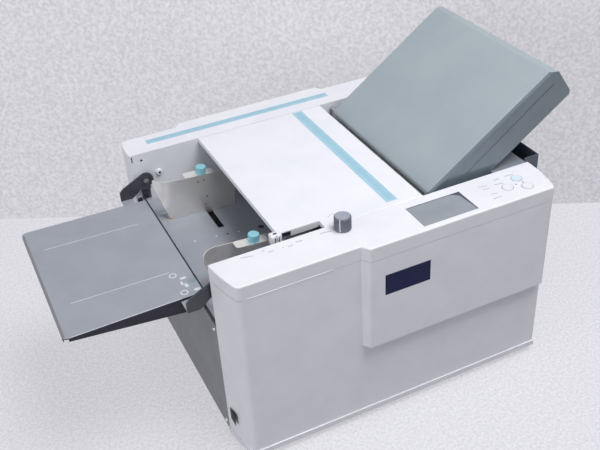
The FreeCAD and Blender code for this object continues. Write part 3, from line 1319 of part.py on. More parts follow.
def feed_roller():
    """The feed roller: rubber tyres on a core, on one shaft."""
    out = FRAME_T + SHAFT_OUT
    pieces = [rod_y(FEED_X, FEED_Z, SHAFT_R, FRONT_WALL_Y - out, REAR_WALL_Y + out)]
    reach = FEED_TYRE_PITCH * (FEED_TYRES - 1) / 2
    core = reach + FEED_TYRE_WIDTH / 2
    pieces.append(rod_y(FEED_X, FEED_Z, FEED_CORE_R, PAPER_Y - core, PAPER_Y + core))
    for number in range(FEED_TYRES):
        y = PAPER_Y - reach + number * FEED_TYRE_PITCH
        pieces.append(rod_y(FEED_X, FEED_Z, FEED_R, y - FEED_TYRE_WIDTH / 2, y + FEED_TYRE_WIDTH / 2))
    return fused(pieces)


def exit_roller(place, driven):
    """An exit roller on its shaft. The driven one ends in a pulley."""
    x, z = place
    rear_y = REAR_WALL_Y + FRAME_T + SHAFT_OUT
    pieces = [rod_y(x, z, EXIT_R, FRONT_WALL_Y + EXIT_CORE_SIDE, REAR_WALL_Y - EXIT_CORE_SIDE)]
    if driven:
        rear_y = EXIT_PULLEY_Y + EXIT_PULLEY_WIDTH
        pieces.append(rod_y(x, z, EXIT_DRIVEN_R, EXIT_PULLEY_Y, rear_y))
    pieces.append(rod_y(x, z, EXIT_SHAFT_R, FRONT_WALL_Y - FRAME_T - SHAFT_OUT, rear_y))
    return fused(pieces)


# Paper path
def separator_pad():
    """The separator under the feed roller, clamped on a tie rod, with its top hollowed to the roller."""
    x = PAD_ROD[0] - PAD_LENGTH / 2
    z = PAD_ROD[1] - TIE_ROD_R - SHEET
    half = PAD_WIDTH / 2
    block = box(x, x + PAD_LENGTH, PAPER_Y - half, PAPER_Y + half, z, z + PAD_HEIGHT + TIE_ROD_R)
    block = block.cut(rod_y(FEED_X, FEED_Z, FEED_R + PAD_GAP, PAPER_Y - PAD_WIDTH, PAPER_Y + PAD_WIDTH))
    return block.cut(rod_y(PAD_ROD[0], PAD_ROD[1], TIE_ROD_R, PAPER_Y - PAD_WIDTH, PAPER_Y + PAD_WIDTH))


def feed_path_guides():
    """The two sheets that lead the paper from the feed roller to the first nip."""
    run = PATH_END_X - PATH_START_X
    rise = PATH_END_Z - PATH_START_Z
    length = math.hypot(run, rise)
    across = (-rise / length, run / length)
    sheets = []
    for offset in (0, PATH_GAP):
        corners = []
        for share, lift in ((0, 0), (1, 0), (1, PLATE_T), (0, PLATE_T)):
            reach = offset + lift
            corners.append((PATH_START_X + run * share + across[0] * reach,
                            PATH_START_Z + rise * share + across[1] * reach))
        sheets.append(prism_y(outline(in_side, *corners), FRONT_WALL_Y, REAR_WALL_Y))
    return group(sheets)


def lower_at(distance, across):
    """A place along the lower fold plates, measured from their nip, and across them to the right."""
    nip = between(ROLLER_2, ROLLER_3)
    return step_from(step_from(nip, LOWER_PLATE_ANGLE, distance), SECOND_NIP_ANGLE, across)


def lower_prism(points, y0, y1):
    return prism_y(outline(in_side, *[lower_at(a, b) for a, b in points]), y0, y1)


def lower_fold_plates():
    """The second pair of fold plates, inside the machine. The left one is slotted for its stop."""
    start = LOWER_PLATE_START
    end = start + LOWER_PLATE_LENGTH
    plates = []
    for side in (-1, 1):
        near = side * PLATE_GAP / 2
        far = near + side * PLATE_T
        plates.append(lower_prism([(start, near), (start, far), (end, far), (end, near)],
                                  FRONT_WALL_Y, REAR_WALL_Y))
    slot_low = LOWER_STOP_AT - LOWER_STOP_UP - STOP_LENGTH
    slot_high = LOWER_STOP_AT + LOWER_STOP_DOWN + STOP_LENGTH * 2
    for y in plate_slots(PAPER_Y):
        slot = lower_prism([(slot_low, 0), (slot_low, -OVERRUN), (slot_high, -OVERRUN), (slot_high, 0)],
                           y - PLATE_SLOT_WIDTH / 2, y + PLATE_SLOT_WIDTH / 2)
        plates[0] = plates[0].cut(slot)
    return group(plates)


def lower_fold_stop():
    """The lower stop: a bar between the sheets, held by a crossbar in front of them."""
    near = GAP - PLATE_GAP / 2
    far = PLATE_GAP / 2 - GAP
    start = LOWER_STOP_AT
    end = start + STOP_LENGTH
    back = -PLATE_GAP / 2 - PLATE_T - GAP
    behind = back - STOP_LENGTH
    pieces = [lower_prism([(start, near), (start, far), (end, far), (end, near)],
                          PAPER_Y - STOP_HALF, PAPER_Y + STOP_HALF)]
    for y in plate_slots(PAPER_Y):
        pieces.append(lower_prism([(start, behind), (start, far), (end, far), (end, behind)],
                                  y - STOP_LINK_WIDTH / 2, y + STOP_LINK_WIDTH / 2))
    pieces.append(lower_prism([(start, behind), (start, back), (end, back), (end, behind)],
                              PAPER_Y - STOP_HALF, PAPER_Y + STOP_HALF))
    return fused(pieces)


def exit_chute():
    """The two curved sheets that turn the folded paper down to the exit rollers."""
    sheets = []
    for near_r in (CHUTE_R - CHUTE_GAP / 2 - PLATE_T, CHUTE_R + CHUTE_GAP / 2):
        far_r = near_r + PLATE_T
        first = CHUTE_ANGLE + 90
        last = CHUTE_END_ANGLE + 90
        middle = (first + last) / 2
        face = outline(in_side, step_from(CHUTE_CENTRE, first, near_r),
                       (step_from(CHUTE_CENTRE, middle, near_r), step_from(CHUTE_CENTRE, last, near_r)),
                       step_from(CHUTE_CENTRE, last, far_r),
                       (step_from(CHUTE_CENTRE, middle, far_r), step_from(CHUTE_CENTRE, first, far_r)))
        sheets.append(prism_y(face, FRONT_WALL_Y, REAR_WALL_Y))
    return group(sheets)


# Delivery tray
DELIVERY_LEFT_X = RIGHT_END_X + DELIVERY_GAP
DELIVERY_RIGHT_X = DELIVERY_LEFT_X + DELIVERY_DEPTH
DELIVERY_HINGE_X = DELIVERY_LEFT_X + DELIVERY_DEPTH / 2


def delivery_edge_y(side):
    return FRONT_WALL_Y + DELIVERY_FRONT_GAP if side < 0 else REAR_WALL_Y - DELIVERY_REAR_GAP


def delivery_tray():
    """The tray that stands folded up: a sheet with a side lip along each edge, round at the hinge."""
    radius = DELIVERY_DEPTH / 2
    face = outline(in_side, (DELIVERY_LEFT_X, COVER_TOP_Z), (DELIVERY_LEFT_X, DELIVERY_HINGE_Z),
                   ((DELIVERY_HINGE_X, DELIVERY_HINGE_Z - radius), (DELIVERY_RIGHT_X, DELIVERY_HINGE_Z)),
                   (DELIVERY_RIGHT_X, COVER_TOP_Z))
    front = delivery_edge_y(-1)
    rear = delivery_edge_y(1)
    pieces = [prism_y(face, front, front + SHEET), prism_y(face, rear - SHEET, rear),
              box(DELIVERY_RIGHT_X - SHEET, DELIVERY_RIGHT_X, front, rear, DELIVERY_HINGE_Z, COVER_TOP_Z)]
    tray = fused(pieces)
    bore_r = DELIVERY_PIN_R + RUN
    return tray.cut(rod_y(DELIVERY_HINGE_X, DELIVERY_HINGE_Z, bore_r, front - OVERRUN, rear + OVERRUN))


def delivery_hinge_brackets():
    """A lug on the end sheet at each side, with the pin that carries the delivery tray."""
    brackets = []
    for side in (-1, 1):
        lip_y = delivery_edge_y(side)
        near = lip_y + side * GAP
        far = near + side * DELIVERY_LUG_T
        lug = box(RIGHT_END_X, DELIVERY_HINGE_X, near, far, DELIVERY_HINGE_Z - DELIVERY_LUG_HALF,
                  DELIVERY_HINGE_Z + DELIVERY_LUG_HALF)
        eye = rod_y(DELIVERY_HINGE_X, DELIVERY_HINGE_Z, DELIVERY_LUG_HALF, near, far)
        pin_y = lip_y - side * (SHEET + DELIVERY_PIN_PROUD)
        pin = rod_y(DELIVERY_HINGE_X, DELIVERY_HINGE_Z, DELIVERY_PIN_R, far, pin_y)
        brackets.append(fused([lug, eye, pin]))
    return group(brackets)


# Power
def rocker_place():
    x = INLET_LEFT_X + ROCKER_OFFSET
    y = WIDTH / 2 - RAISE + INLET_FLANGE_T - ROCKER_RISE / 2
    return x, y, INLET_BOTTOM_Z + INLET_HEIGHT / 2


def power_inlet():
    """The inlet module in the rear cover: flange, socket and the well of the rocker switch."""
    face_y = WIDTH / 2 - RAISE
    flange = box(INLET_LEFT_X, INLET_LEFT_X + INLET_LENGTH, face_y, face_y + INLET_FLANGE_T, INLET_BOTTOM_Z,
                 INLET_BOTTOM_Z + INLET_HEIGHT)
    module = fused([flange, inlet_box(0, face_y - INLET_DEPTH, face_y)])
    top_y = face_y + INLET_FLANGE_T
    middle_z = INLET_BOTTOM_Z + INLET_HEIGHT / 2
    x = INLET_LEFT_X + SOCKET_OFFSET
    module = module.cut(box(x, x + SOCKET_LENGTH, top_y - SOCKET_DEPTH, top_y + OVERRUN,
                            middle_z - SOCKET_HEIGHT / 2, middle_z + SOCKET_HEIGHT / 2))
    x, y, z = rocker_place()
    half = ROCKER_WIDTH / 2 + GAP
    module = module.cut(box(x - half, x + half, top_y - ROCKER_WELL_DEPTH, top_y + OVERRUN,
                            z - ROCKER_WELL_HALF, z + ROCKER_WELL_HALF))
    pin_half = half + ROCKER_PIN_LENGTH + GAP
    pin = Part.makeCylinder(ROCKER_PIN_R + RUN, 2 * pin_half, V(x - pin_half, y, z), V(1, 0, 0))
    return module.cut(pin)


def power_rocker():
    """The rocker, tilted to its off side, on its own small pins."""
    x, y, z = rocker_place()
    half = ROCKER_WIDTH / 2
    corners = [V(x - half, y - ROCKER_SINK, z - ROCKER_HALF), V(x - half, y + ROCKER_RISE, z - ROCKER_HALF),
               V(x - half, y + ROCKER_RISE / 2, z), V(x - half, y + ROCKER_RISE, z + ROCKER_HALF),
               V(x - half, y - ROCKER_SINK, z + ROCKER_HALF)]
    body = Part.Face(Part.makePolygon(corners + corners[:1])).extrude(V(ROCKER_WIDTH, 0, 0))
    pin_half = half + ROCKER_PIN_LENGTH
    pin = Part.makeCylinder(ROCKER_PIN_R, 2 * pin_half, V(x - pin_half, y, z), V(1, 0, 0))
    rocker = fused([body, pin])
    rocker.rotate(V(x, y, z), V(1, 0, 0), ROCKER_TILT)
    return rocker


def power_supply():
    x = LEFT_END_X + SUPPLY_OFFSET_X
    y = FRONT_WALL_Y + SUPPLY_OFFSET_Y
    return box(x, x + SUPPLY_LENGTH, y, y + SUPPLY_WIDTH, FRAME_BOTTOM_Z, FRAME_BOTTOM_Z + SUPPLY_HEIGHT)


def frame_pieces():
    return {
        "base_plate": base_plate(),
        "rubber_feet": rubber_feet(),
        "front_side_frame": side_frame(FRONT),
        "rear_side_frame": side_frame(REAR),
        "tie_rods": tie_rods(),
        "left_end_panel": left_end_panel(),
        "right_end_cover": right_end_cover(),
        "panel_screws": panel_screws(),
        "wall_pins": wall_pins(),
        "tray_stop_brackets": tray_stop_brackets(),
        "front_cover": front_cover(),
        "control_panel_cap": control_panel_cap(),
        "rear_cover": rear_cover(),
    }


def panel_pieces():
    return {
        "display_screen": display_screen(),
        "control_board": control_board(),
        "start_button": panel_button(START_PLACE),
        "reset_button": panel_button(RESET_PLACE),
        "stop_button": panel_button(STOP_PLACE),
        "adjust_knob": adjust_knob(),
        "knob_encoder": knob_encoder(),
        "power_inlet": power_inlet(),
        "power_rocker": power_rocker(),
        "power_supply": power_supply(),
    }


def feed_pieces():
    guide = rear_guide()
    knob = rear_lock_knob()
    return {
        "feed_tray": feed_tray(),
        "tray_arms": tray_arms(),
        "paper_table": paper_table(),
        "rear_paper_guide": tilted(guide),
        "front_paper_guide": tilted(opposite(guide)),
        "rear_guide_knob": tilted(knob),
        "front_guide_knob": tilted(opposite(knob)),
        "top_cover": top_cover(),
        "release_lever": release_lever(),
        "feed_roller": feed_roller(),
        "separator_pad": separator_pad(),
        "feed_path_guides": feed_path_guides(),
    }


def fold_pieces():
    phases = gear_phases()
    drive = (DRIVE_PULLEY_R, DRIVE_PULLEY_Y, DRIVE_PULLEY_WIDTH)
    exit_drive = (EXIT_DRIVE_R, EXIT_PULLEY_Y, EXIT_PULLEY_WIDTH)
    gear_end = GEAR_Y + GEAR_WIDTH
    drive_end = DRIVE_PULLEY_Y + DRIVE_PULLEY_WIDTH
    exit_end = EXIT_PULLEY_Y + EXIT_PULLEY_WIDTH
    return {
        "fold_roller_1": fold_roller(ROLLER_1, gear_end),
        "fold_roller_2": fold_roller(ROLLER_2, drive_end),
        "fold_roller_3": fold_roller(ROLLER_3, gear_end),
        "fold_roller_4": fold_roller(ROLLER_4, exit_end),
        "roller_gear_1": spur_gear(ROLLER_1, phases[0]),
        "drive_gear": gear_with_pulley(ROLLER_2, phases[1], *drive),
        "roller_gear_3": spur_gear(ROLLER_3, phases[2]),
        "roller_gear_4": gear_with_pulley(ROLLER_4, phases[3], *exit_drive),
        "roller_bearings": roller_bearings(),
        "fold_unit_upper_shell": fold_unit_upper_shell(),
        "fold_unit_lower_shell": fold_unit_lower_shell(),
        "upper_fold_plates": upper_fold_plates(),
        "stop_guide_rods": stop_guide_rods(),
        "upper_fold_stop": upper_fold_stop(),
        "lower_fold_plates": lower_fold_plates(),
        "lower_fold_stop": lower_fold_stop(),
    }


def drive_pieces():
    belt_low = DRIVE_PULLEY_Y + BELT_INSET
    belt_high = DRIVE_PULLEY_Y + DRIVE_PULLEY_WIDTH - BELT_INSET
    motor = (MOTOR_X, MOTOR_Z)
    exit_low = EXIT_PULLEY_Y + BELT_INSET
    exit_high = EXIT_PULLEY_Y + EXIT_PULLEY_WIDTH - BELT_INSET
    return {
        "drive_motor": drive_motor(),
        "motor_pulley": motor_pulley(),
        "drive_belt": belt_loop(ROLLER_2, DRIVE_PULLEY_R, motor, MOTOR_PULLEY_R, belt_low, belt_high),
        "exit_belt": belt_loop(ROLLER_4, EXIT_DRIVE_R, EXIT_LOWER, EXIT_DRIVEN_R, exit_low, exit_high),
        "exit_chute": exit_chute(),
        "exit_roller_upper": exit_roller(EXIT_UPPER, False),
        "exit_roller_lower": exit_roller(EXIT_LOWER, True),
        "delivery_tray": delivery_tray(),
        "delivery_hinge_brackets": delivery_hinge_brackets(),
    }


def build():
    """Every piece, moved so that the origin is under the middle of the whole machine."""
    pieces = {}
    for made in (frame_pieces(), panel_pieces(), feed_pieces(), fold_pieces(), drive_pieces()):
        pieces.update(made)
    whole = group(list(pieces.values())).BoundBox
    shift = V(-(whole.XMin + whole.XMax) / 2, -(whole.YMin + whole.YMax) / 2, 0)
    moved = {name: shape.translated(shift) for name, shape in pieces.items()}
    return moved, shift


PIECES, SHIFT = build()
os.makedirs("parts", exist_ok=True)
for name, shape in PIECES.items():
    shape.exportStep("parts/" + name + ".step")
print("pieces", len(PIECES), "shift", SHIFT)
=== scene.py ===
import json
import logging
import math
from collections.abc import Callable
from dataclasses import dataclass
from enum import Enum

import bmesh
import bpy
from mathutils import Matrix, Vector

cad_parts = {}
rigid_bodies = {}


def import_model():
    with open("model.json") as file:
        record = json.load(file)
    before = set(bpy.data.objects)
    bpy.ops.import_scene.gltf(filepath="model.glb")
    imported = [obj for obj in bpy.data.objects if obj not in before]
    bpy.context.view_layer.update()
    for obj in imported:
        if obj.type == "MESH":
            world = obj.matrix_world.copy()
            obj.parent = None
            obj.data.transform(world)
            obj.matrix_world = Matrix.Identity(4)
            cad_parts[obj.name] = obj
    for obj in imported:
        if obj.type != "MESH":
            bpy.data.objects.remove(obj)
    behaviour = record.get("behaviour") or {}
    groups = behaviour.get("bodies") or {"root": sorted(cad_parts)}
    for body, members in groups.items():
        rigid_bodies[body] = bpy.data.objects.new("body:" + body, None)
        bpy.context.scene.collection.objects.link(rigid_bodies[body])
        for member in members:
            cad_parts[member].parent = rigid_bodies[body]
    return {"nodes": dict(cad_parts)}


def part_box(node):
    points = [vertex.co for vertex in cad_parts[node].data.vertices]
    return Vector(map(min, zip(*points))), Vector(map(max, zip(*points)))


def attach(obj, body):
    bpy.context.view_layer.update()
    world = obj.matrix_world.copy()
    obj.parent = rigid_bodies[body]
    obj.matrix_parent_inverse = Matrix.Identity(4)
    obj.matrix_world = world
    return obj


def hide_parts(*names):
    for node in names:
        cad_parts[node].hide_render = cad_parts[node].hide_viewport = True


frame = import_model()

# The looks of the paper folding machine. Sizes in the classes are millimetres in the machine's own axes,
# whose X is counted from the same datum as the solids' sizes. MACHINE.point() turns them into metres.

LOG = logging.getLogger("paper_folder")
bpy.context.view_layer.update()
Pair = tuple[float, float]
Point = tuple[float, float, float]
Quad = tuple[float, float, float, float]
Segment = tuple[Pair, Pair]
Outline = list[Pair]
Mesh = bpy.types.Mesh
Tree = bpy.types.NodeTree
Socket = bpy.types.NodeSocket

METRE = 1000.0  # in millimetres
MERGE_DISTANCE = 1e-7  # in metres, under which two corners are one
SHARP_ANGLE = math.radians(35)  # from which an edge is shaded sharp
UPWARD: Point = (0.0, 0.0, 1.0)
REARWARD: Point = (0.0, 1.0, 0.0)
FORWARD: Point = (0.0, -1.0, 0.0)
SQUARE: tuple[Pair, ...] = ((0.0, 0.0),)  # the plain corner of a turned form
# The noise of the colours' mottle and of the grain, and how much of its range each takes up.
MOTTLE = {"Detail": 3.0, "Roughness": 0.55}
MOTTLE_SPAN = {"From Min": 0.35, "From Max": 0.65}
GRAIN = {"Detail": 4.0, "Roughness": 0.6}
GRAIN_SPAN = {"From Min": 0.3, "From Max": 0.7}
MIX_FACTOR, MIX_FIRST, MIX_SECOND, MIX_RESULT = 0, 6, 7, 2  # a colour mix's sockets
HEAD_SIDES = 24
RECESS_SIDES = 6
RECESS_RISE = 0.6  # of the head's height


def linear(hex_code: str) -> Quad:
    """Turns an sRGB hex colour into Blender's linear values.

    Args:
        hex_code: six hex digits after a hash sign.

    Returns:
        The colour with full alpha.
    """
    parts = [int(hex_code[at:at + 2], 16) / 255 for at in (1, 3, 5)]
    red, green, blue = (c / 12.92 if c <= 0.04045 else ((c + 0.055) / 1.055) ** 2.4 for c in parts)
    return red, green, blue, 1.0


def per_metre(millimetres: float) -> float:
    """Turns a pattern's real size into a texture scale.

    Args:
        millimetres: the size of one cell of the pattern.

    Returns:
        The scale for Object coordinates in metres.
    """
    return METRE / millimetres


def add_node(tree: Tree, kind: str, settings: dict | None = None,
             inputs: dict | None = None) -> bpy.types.Node:
    """Adds a node with its settings and links.

    Args:
        tree: the tree that gets the node.
        kind: the node's Blender type.
        settings: attributes to set on it.
        inputs: values or output sockets for its inputs, by name or index.

    Returns:
        The new node.
    """
    node = tree.nodes.new(kind)
    for name, value in (settings or {}).items():
        setattr(node, name, value)
    for key, value in (inputs or {}).items():
        if isinstance(value, Socket):
            tree.links.new(value, node.inputs[key])
        else:
            node.inputs[key].default_value = value
    return node


def seen_ray(tree: Tree) -> Socket:
    """Adds a socket that is one for rays from the camera, off gloss and through glass, and else nought.

    Args:
        tree: the tree that gets the nodes.

    Returns:
        The socket.
    """
    rays = add_node(tree, "ShaderNodeLightPath").outputs
    seen = add_node(tree, "ShaderNodeMath", {"operation": "MAXIMUM"},
                    {0: rays["Is Camera Ray"], 1: rays["Is Glossy Ray"]})
    return add_node(tree, "ShaderNodeMath", {"operation": "MAXIMUM"},
                    {0: seen.outputs[0], 1: rays["Is Transmission Ray"]}).outputs[0]


# Finishes
@dataclass(frozen=True)
class Finish:
    """A surface finish: two close colours that mottle each other, a range of roughness and a fine relief."""

    name: str
    slot: str
    light: str
    dark: str
    roughness: Pair
    patch_mm: float
    grain_mm: float
    relief_mm: float
    metallic: float = 0.0
    specular: float = 0.5
    coat: float = 0.0

    def stretch(self) -> Point:
        """Returns how the grain is drawn out along each axis."""
        return 1.0, 1.0, 1.0

    def mottle(self, tree: Tree, place: Socket) -> Socket:
        """Adds the two mottled colours.

        Args:
            tree: the material's tree.
            place: the coordinates to read.

        Returns:
            The colour socket.
        """
        patches = add_node(tree, "ShaderNodeTexNoise", {"noise_dimensions": "3D"},
                           {"Vector": place, "Scale": per_metre(self.patch_mm), **MOTTLE})
        spread = add_node(tree, "ShaderNodeMapRange", None, {"Value": patches.outputs["Fac"], **MOTTLE_SPAN})
        colour = add_node(tree, "ShaderNodeMix", {"data_type": "RGBA"},
                          {MIX_FACTOR: spread.outputs["Result"], MIX_FIRST: linear(self.dark),
                           MIX_SECOND: linear(self.light)})
        return colour.outputs[MIX_RESULT]

    def material(self) -> bpy.types.Material:
        """Makes the material once.

        Returns:
            The material.
        """
        known = bpy.data.materials.get(self.name)
        if known is not None:
            return known
        material = bpy.data.materials.new(self.name)
        material.use_nodes = True
        tree = material.node_tree
        shader = tree.nodes["Principled BSDF"]
        for socket, value in (("Metallic", self.metallic), ("Specular IOR Level", self.specular),
                              ("Coat Weight", self.coat)):
            shader.inputs[socket].default_value = value
        place = add_node(tree, "ShaderNodeTexCoord").outputs["Object"]
        tree.links.new(self.mottle(tree, place), shader.inputs["Base Color"])
        drawn = add_node(tree, "ShaderNodeMapping", None, {"Vector": place, "Scale": self.stretch()})
        grain = add_node(tree, "ShaderNodeTexNoise", {"noise_dimensions": "3D"},
                         {"Vector": drawn.outputs["Vector"], "Scale": per_metre(self.grain_mm), **GRAIN})
        rough = add_node(tree, "ShaderNodeMapRange", None,
                         {"Value": grain.outputs["Fac"], "To Min": self.roughness[0],
                          "To Max": self.roughness[1], **GRAIN_SPAN})
        tree.links.new(rough.outputs["Result"], shader.inputs["Roughness"])
        bump = add_node(tree, "ShaderNodeBump", None,
                        {"Height": grain.outputs["Fac"], "Distance": self.relief_mm / METRE,
                         "Strength": 1.0})
        tree.links.new(bump.outputs["Normal"], shader.inputs["Normal"])
        return material


class Along(Enum):
    """The ways in which a grain is drawn out, as the pattern's scale on each axis."""

    X = (0.04, 1.0, 1.0)
    Y = (1.0, 0.04, 1.0)


@dataclass(frozen=True)
class Drawn(Finish):
    """A finish whose grain is drawn out along one axis, as brushing or turning leaves it."""

    along: Along = Along.X

    def stretch(self) -> Point:
        """Returns how the grain is drawn out along each axis."""
        return self.along.value


@dataclass(frozen=True)
class StageFinish(Finish):
    """A speckled stage surface that the camera and reflections see paler than it lights the machine."""

    lift: float = 0.4
    one_sided: bool = False

    def material(self) -> bpy.types.Material:
        """Makes the material once.

        Returns:
            The material.
        """
        known = bpy.data.materials.get(self.name)
        if known is not None:
            return known
        material = super().material()
        tree = material.node_tree
        shader = tree.nodes["Principled BSDF"]
        strength = add_node(tree, "ShaderNodeMath", {"operation": "MULTIPLY"},
                            {0: seen_ray(tree), 1: self.lift})
        tree.links.new(shader.inputs["Base Color"].links[0].from_socket, shader.inputs["Emission Color"])
        tree.links.new(strength.outputs[0], shader.inputs["Emission Strength"])
        if self.one_sided:
            behind = add_node(tree, "ShaderNodeNewGeometry").outputs["Backfacing"]
            clear = add_node(tree, "ShaderNodeBsdfTransparent").outputs["BSDF"]
            both = add_node(tree, "ShaderNodeMixShader", None,
                            {0: behind, 1: shader.outputs["BSDF"], 2: clear})
            tree.links.new(both.outputs["Shader"], tree.nodes["Material Output"].inputs["Surface"])
        return material


class Look(Enum):
    """The machine's finishes. Each is named for what the real surface is."""

    # Spark-eroded ABS: an even off-white whose fine grain keeps its highlights soft.
    COVER = Finish("moulded_abs_cover", "cover_plastic", "#F1F1F8", "#ECECF4", (0.4, 0.5), 60, 0.9, 0.02)
    # Enamel on the steel lid: whiter and smoother than the mouldings beside it.
    LID = Finish("painted_lid", "lid_plastic", "#F3F3FB", "#EEEFF7", (0.34, 0.42), 70, 1.6, 0.012)
    # Satin enamel on folded sheet steel: mid grey with a faint orange peel.
    TRAY = Finish("satin_enamel_tray", "tray_steel", "#A1A5AF", "#9B9FA9", (0.36, 0.46), 45, 1.4, 0.03)
    # Powder coat on the steel walls: pale grey, a little rougher than the tray.
    WALL = Finish("powder_coat_wall", "frame_steel", "#EFF1F7", "#E9ECF3", (0.42, 0.52), 50, 1.2, 0.03)
    # The same powder coat in mid grey on the folded end sheet; laid as a strip on the feed tray's top, it is
    # painted shade along the tray's outer left edge.
    END = Finish("powder_coat_end", "frame_steel", "#828387", "#7A7B80", (0.45, 0.55), 50, 1.2, 0.03)
    # Black oxide on punched steel: a dark satin that still shows its edges.
    ARM = Finish("black_oxide_arm", "dark_steel", "#4A4B52", "#414249", (0.32, 0.42), 18, 1.0, 0.02)
    # Near-black finish of the tray's outer upright edges and of the unit's joint line; on the tray's hinge
    # edge it is painted shade of the gap between tray and table.
    EDGE = Finish("dark_tray_edge", "tray_steel", "#34323F", "#2B2A36", (0.45, 0.55), 22, 1.2, 0.02,
                  specular=0.3)
    # Darker enamel on the deck under the fold plate unit.
    DECK = Finish("enamel_deck", "deck_grey", "#868D97", "#7D848E", (0.38, 0.46), 30, 1.2, 0.02)
    # Textured ABS of the fold plate unit: a bluish grey with a soft sheen.
    UNIT = Finish("moulded_abs_unit", "unit_plastic", "#A5B0B6", "#9FAAB1", (0.34, 0.42), 90, 0.9, 0.015)
    # The unit's flanks: the same ABS, glossy so the panel mirrors in it, and coloured darker than the top as
    # painted shade.
    UNIT_SIDE = Finish("glossy_abs_flank", "unit_dark", "#74828B", "#6E7C85", (0.12, 0.2), 60, 0.9, 0.004,
                       coat=0.5)
    # The same ABS on the unit's lower shell, moulded a shade darker and cooler.
    UNIT_LOW = Finish("moulded_abs_unit_low", "unit_dark", "#9AA7AF", "#929FA8", (0.36, 0.44), 60, 0.9,
                      0.015)
    # Sanded stainless sheet: fine lines along X draw its reflections out upwards. The metallic share under
    # one stands for the light that the sanding scatters.
    STAINLESS = Drawn("sanded_stainless", "stainless", "#F1EFEC", "#E8E6E2", (0.32, 0.42), 40, 0.7, 0.008,
                      0.72)
    # Ground and turned steel of shafts, pins and rollers: bright, with fine rings.
    TURNED = Drawn("turned_steel", "bright_steel", "#CFCFCF", "#BFBFBF", (0.22, 0.36), 20, 0.4, 0.006, 1.0,
                   along=Along.Y)
    # Zinc plate on steel: a soft crystalline mottle.
    ZINC = Finish("zinc_plate", "zinc_steel", "#C2C3BF", "#ADAEA9", (0.3, 0.45), 9, 2.5, 0.008, 1.0)
    # Rolled aluminium of the supply's case: pale and satin.
    ALUMINIUM = Finish("bare_aluminium", "supply_case", "#C6C6C6", "#B8B8B8", (0.35, 0.45), 20, 0.8, 0.01,
                       1.0)
    # Ground rubber tyres: nearly black and dull.
    RUBBER = Finish("ground_rubber", "roller_rubber", "#3C3C3E", "#323234", (0.7, 0.85), 12, 0.6, 0.05)
    # Moulded rubber feet: black and dull.
    FOOT = Finish("foot_rubber", "foot_rubber", "#232325", "#1B1B1D", (0.7, 0.85), 12, 0.6, 0.05)
    # Cast rubber belts: black with a slight sheen.
    BELT = Finish("belt_rubber", "belt_rubber", "#1F1F21", "#18181A", (0.6, 0.75), 8, 0.6, 0.05)
    # Moulded nylon of the lock knobs: a clear light cyan with a soft highlight.
    CYAN = Finish("moulded_cyan", "cyan_plastic", "#8CC9D6", "#82C0CE", (0.28, 0.38), 8, 0.6, 0.01)
    # Acetal: a smooth, faintly cool white.
    WHITE = Finish("moulded_acetal", "white_plastic", "#F0F0F3", "#E6E5EC", (0.26, 0.36), 10, 0.8, 0.01)
    # Moulded ABS of the adjusting knob: a satin mid grey with a blue tinge.
    KNOB = Finish("moulded_grey_knob", "knob_plastic", "#7E808E", "#757785", (0.34, 0.44), 8, 0.6, 0.015)
    # Top of the same knob, spun smooth and a shade lighter.
    KNOB_TOP = Finish("smooth_knob_top", "knob_plastic", "#A3A6B5", "#9A9DAC", (0.26, 0.34), 8, 0.6, 0.008)
    # Moulded white buttons: smoother than the panel round them.
    BUTTON = Finish("moulded_button", "button_plastic", "#F1F1F7", "#EBEBF2", (0.26, 0.34), 10, 0.6, 0.008)
    # Tinted acrylic of the start button: a faint cyan.
    LENS = Finish("tinted_lens", "button_plastic", "#E2F0FA", "#D8E8F4", (0.16, 0.24), 8, 0.6, 0.004)
    # Solder mask over copper: glossy green.
    BOARD = Finish("solder_mask", "board", "#1F5A3A", "#194D31", (0.3, 0.4), 10, 1.0, 0.02)
    # Black glass-filled nylon of inlet, switch, encoder and motor case.
    BLACK = Finish("moulded_black", "black_plastic", "#1E1E22", "#18181B", (0.35, 0.45), 15, 0.7, 0.015)
    # Enamel of the folded-up delivery tray, coloured a dark cool grey all over as painted shade of its
    # shaded front side.
    DELIVERY = Finish("dark_enamel", "tray_steel", "#5C6674", "#535D6B", (0.36, 0.46), 30, 1.4, 0.02)
    # Film on a smooth plate: an even dark blue.
    PLATE = Finish("film_plate", "black_plastic", "#161D48", "#131A40", (0.5, 0.6), 20, 1.0, 0.003,
                   specular=0.2)
    # Printed film of the setting scales: pale cyan.
    STRIP = Finish("printed_strip", "cyan_plastic", "#ABD3E4", "#A4CCDE", (0.35, 0.45), 25, 1.0, 0.003)
    # The scales' ticks, a shade deeper than their film.
    TICK = Finish("printed_tick", "cyan_plastic", "#8DBBCF", "#86B4C9", (0.4, 0.5), 8, 1.0, 0.003)
    # Screen-printed inks: thin, matt, a little uneven.
    WHITE_INK = Finish("white_ink", "white_plastic", "#DCE2E8", "#CBD2D9", (0.4, 0.5), 6, 1.0, 0.003)
    GREY_INK = Finish("grey_ink", "knob_plastic", "#CDCEDA", "#C3C4D1", (0.4, 0.5), 5, 1.0, 0.003)
    CYAN_INK = Finish("cyan_ink", "cyan_plastic", "#8FA3AA", "#86999F", (0.4, 0.5), 5, 1.0, 0.003)
    PINK_INK = Finish("pink_ink", "white_plastic", "#D2C6CC", "#C9BDC4", (0.4, 0.5), 5, 1.0, 0.003)
    ORANGE_INK = Finish("orange_ink", "white_plastic", "#D2A88E", "#CA9C80", (0.4, 0.5), 5, 1.0, 0.003)
    # Liquid crystal behind glass: grey, with a clear highlight.
    SCREEN = Finish("lcd_glass", "screen", "#979EA6", "#8F969E", (0.1, 0.18), 40, 4.0, 0.001, specular=0.6)
    # The display glass's thin dark border, which swells at the far right corner into painted shade of the
    # display recess's walls.
    BEZEL = Finish("glass_border", "screen", "#4C5166", "#434860", (0.14, 0.22), 20, 4.0, 0.001,
                   specular=0.6)
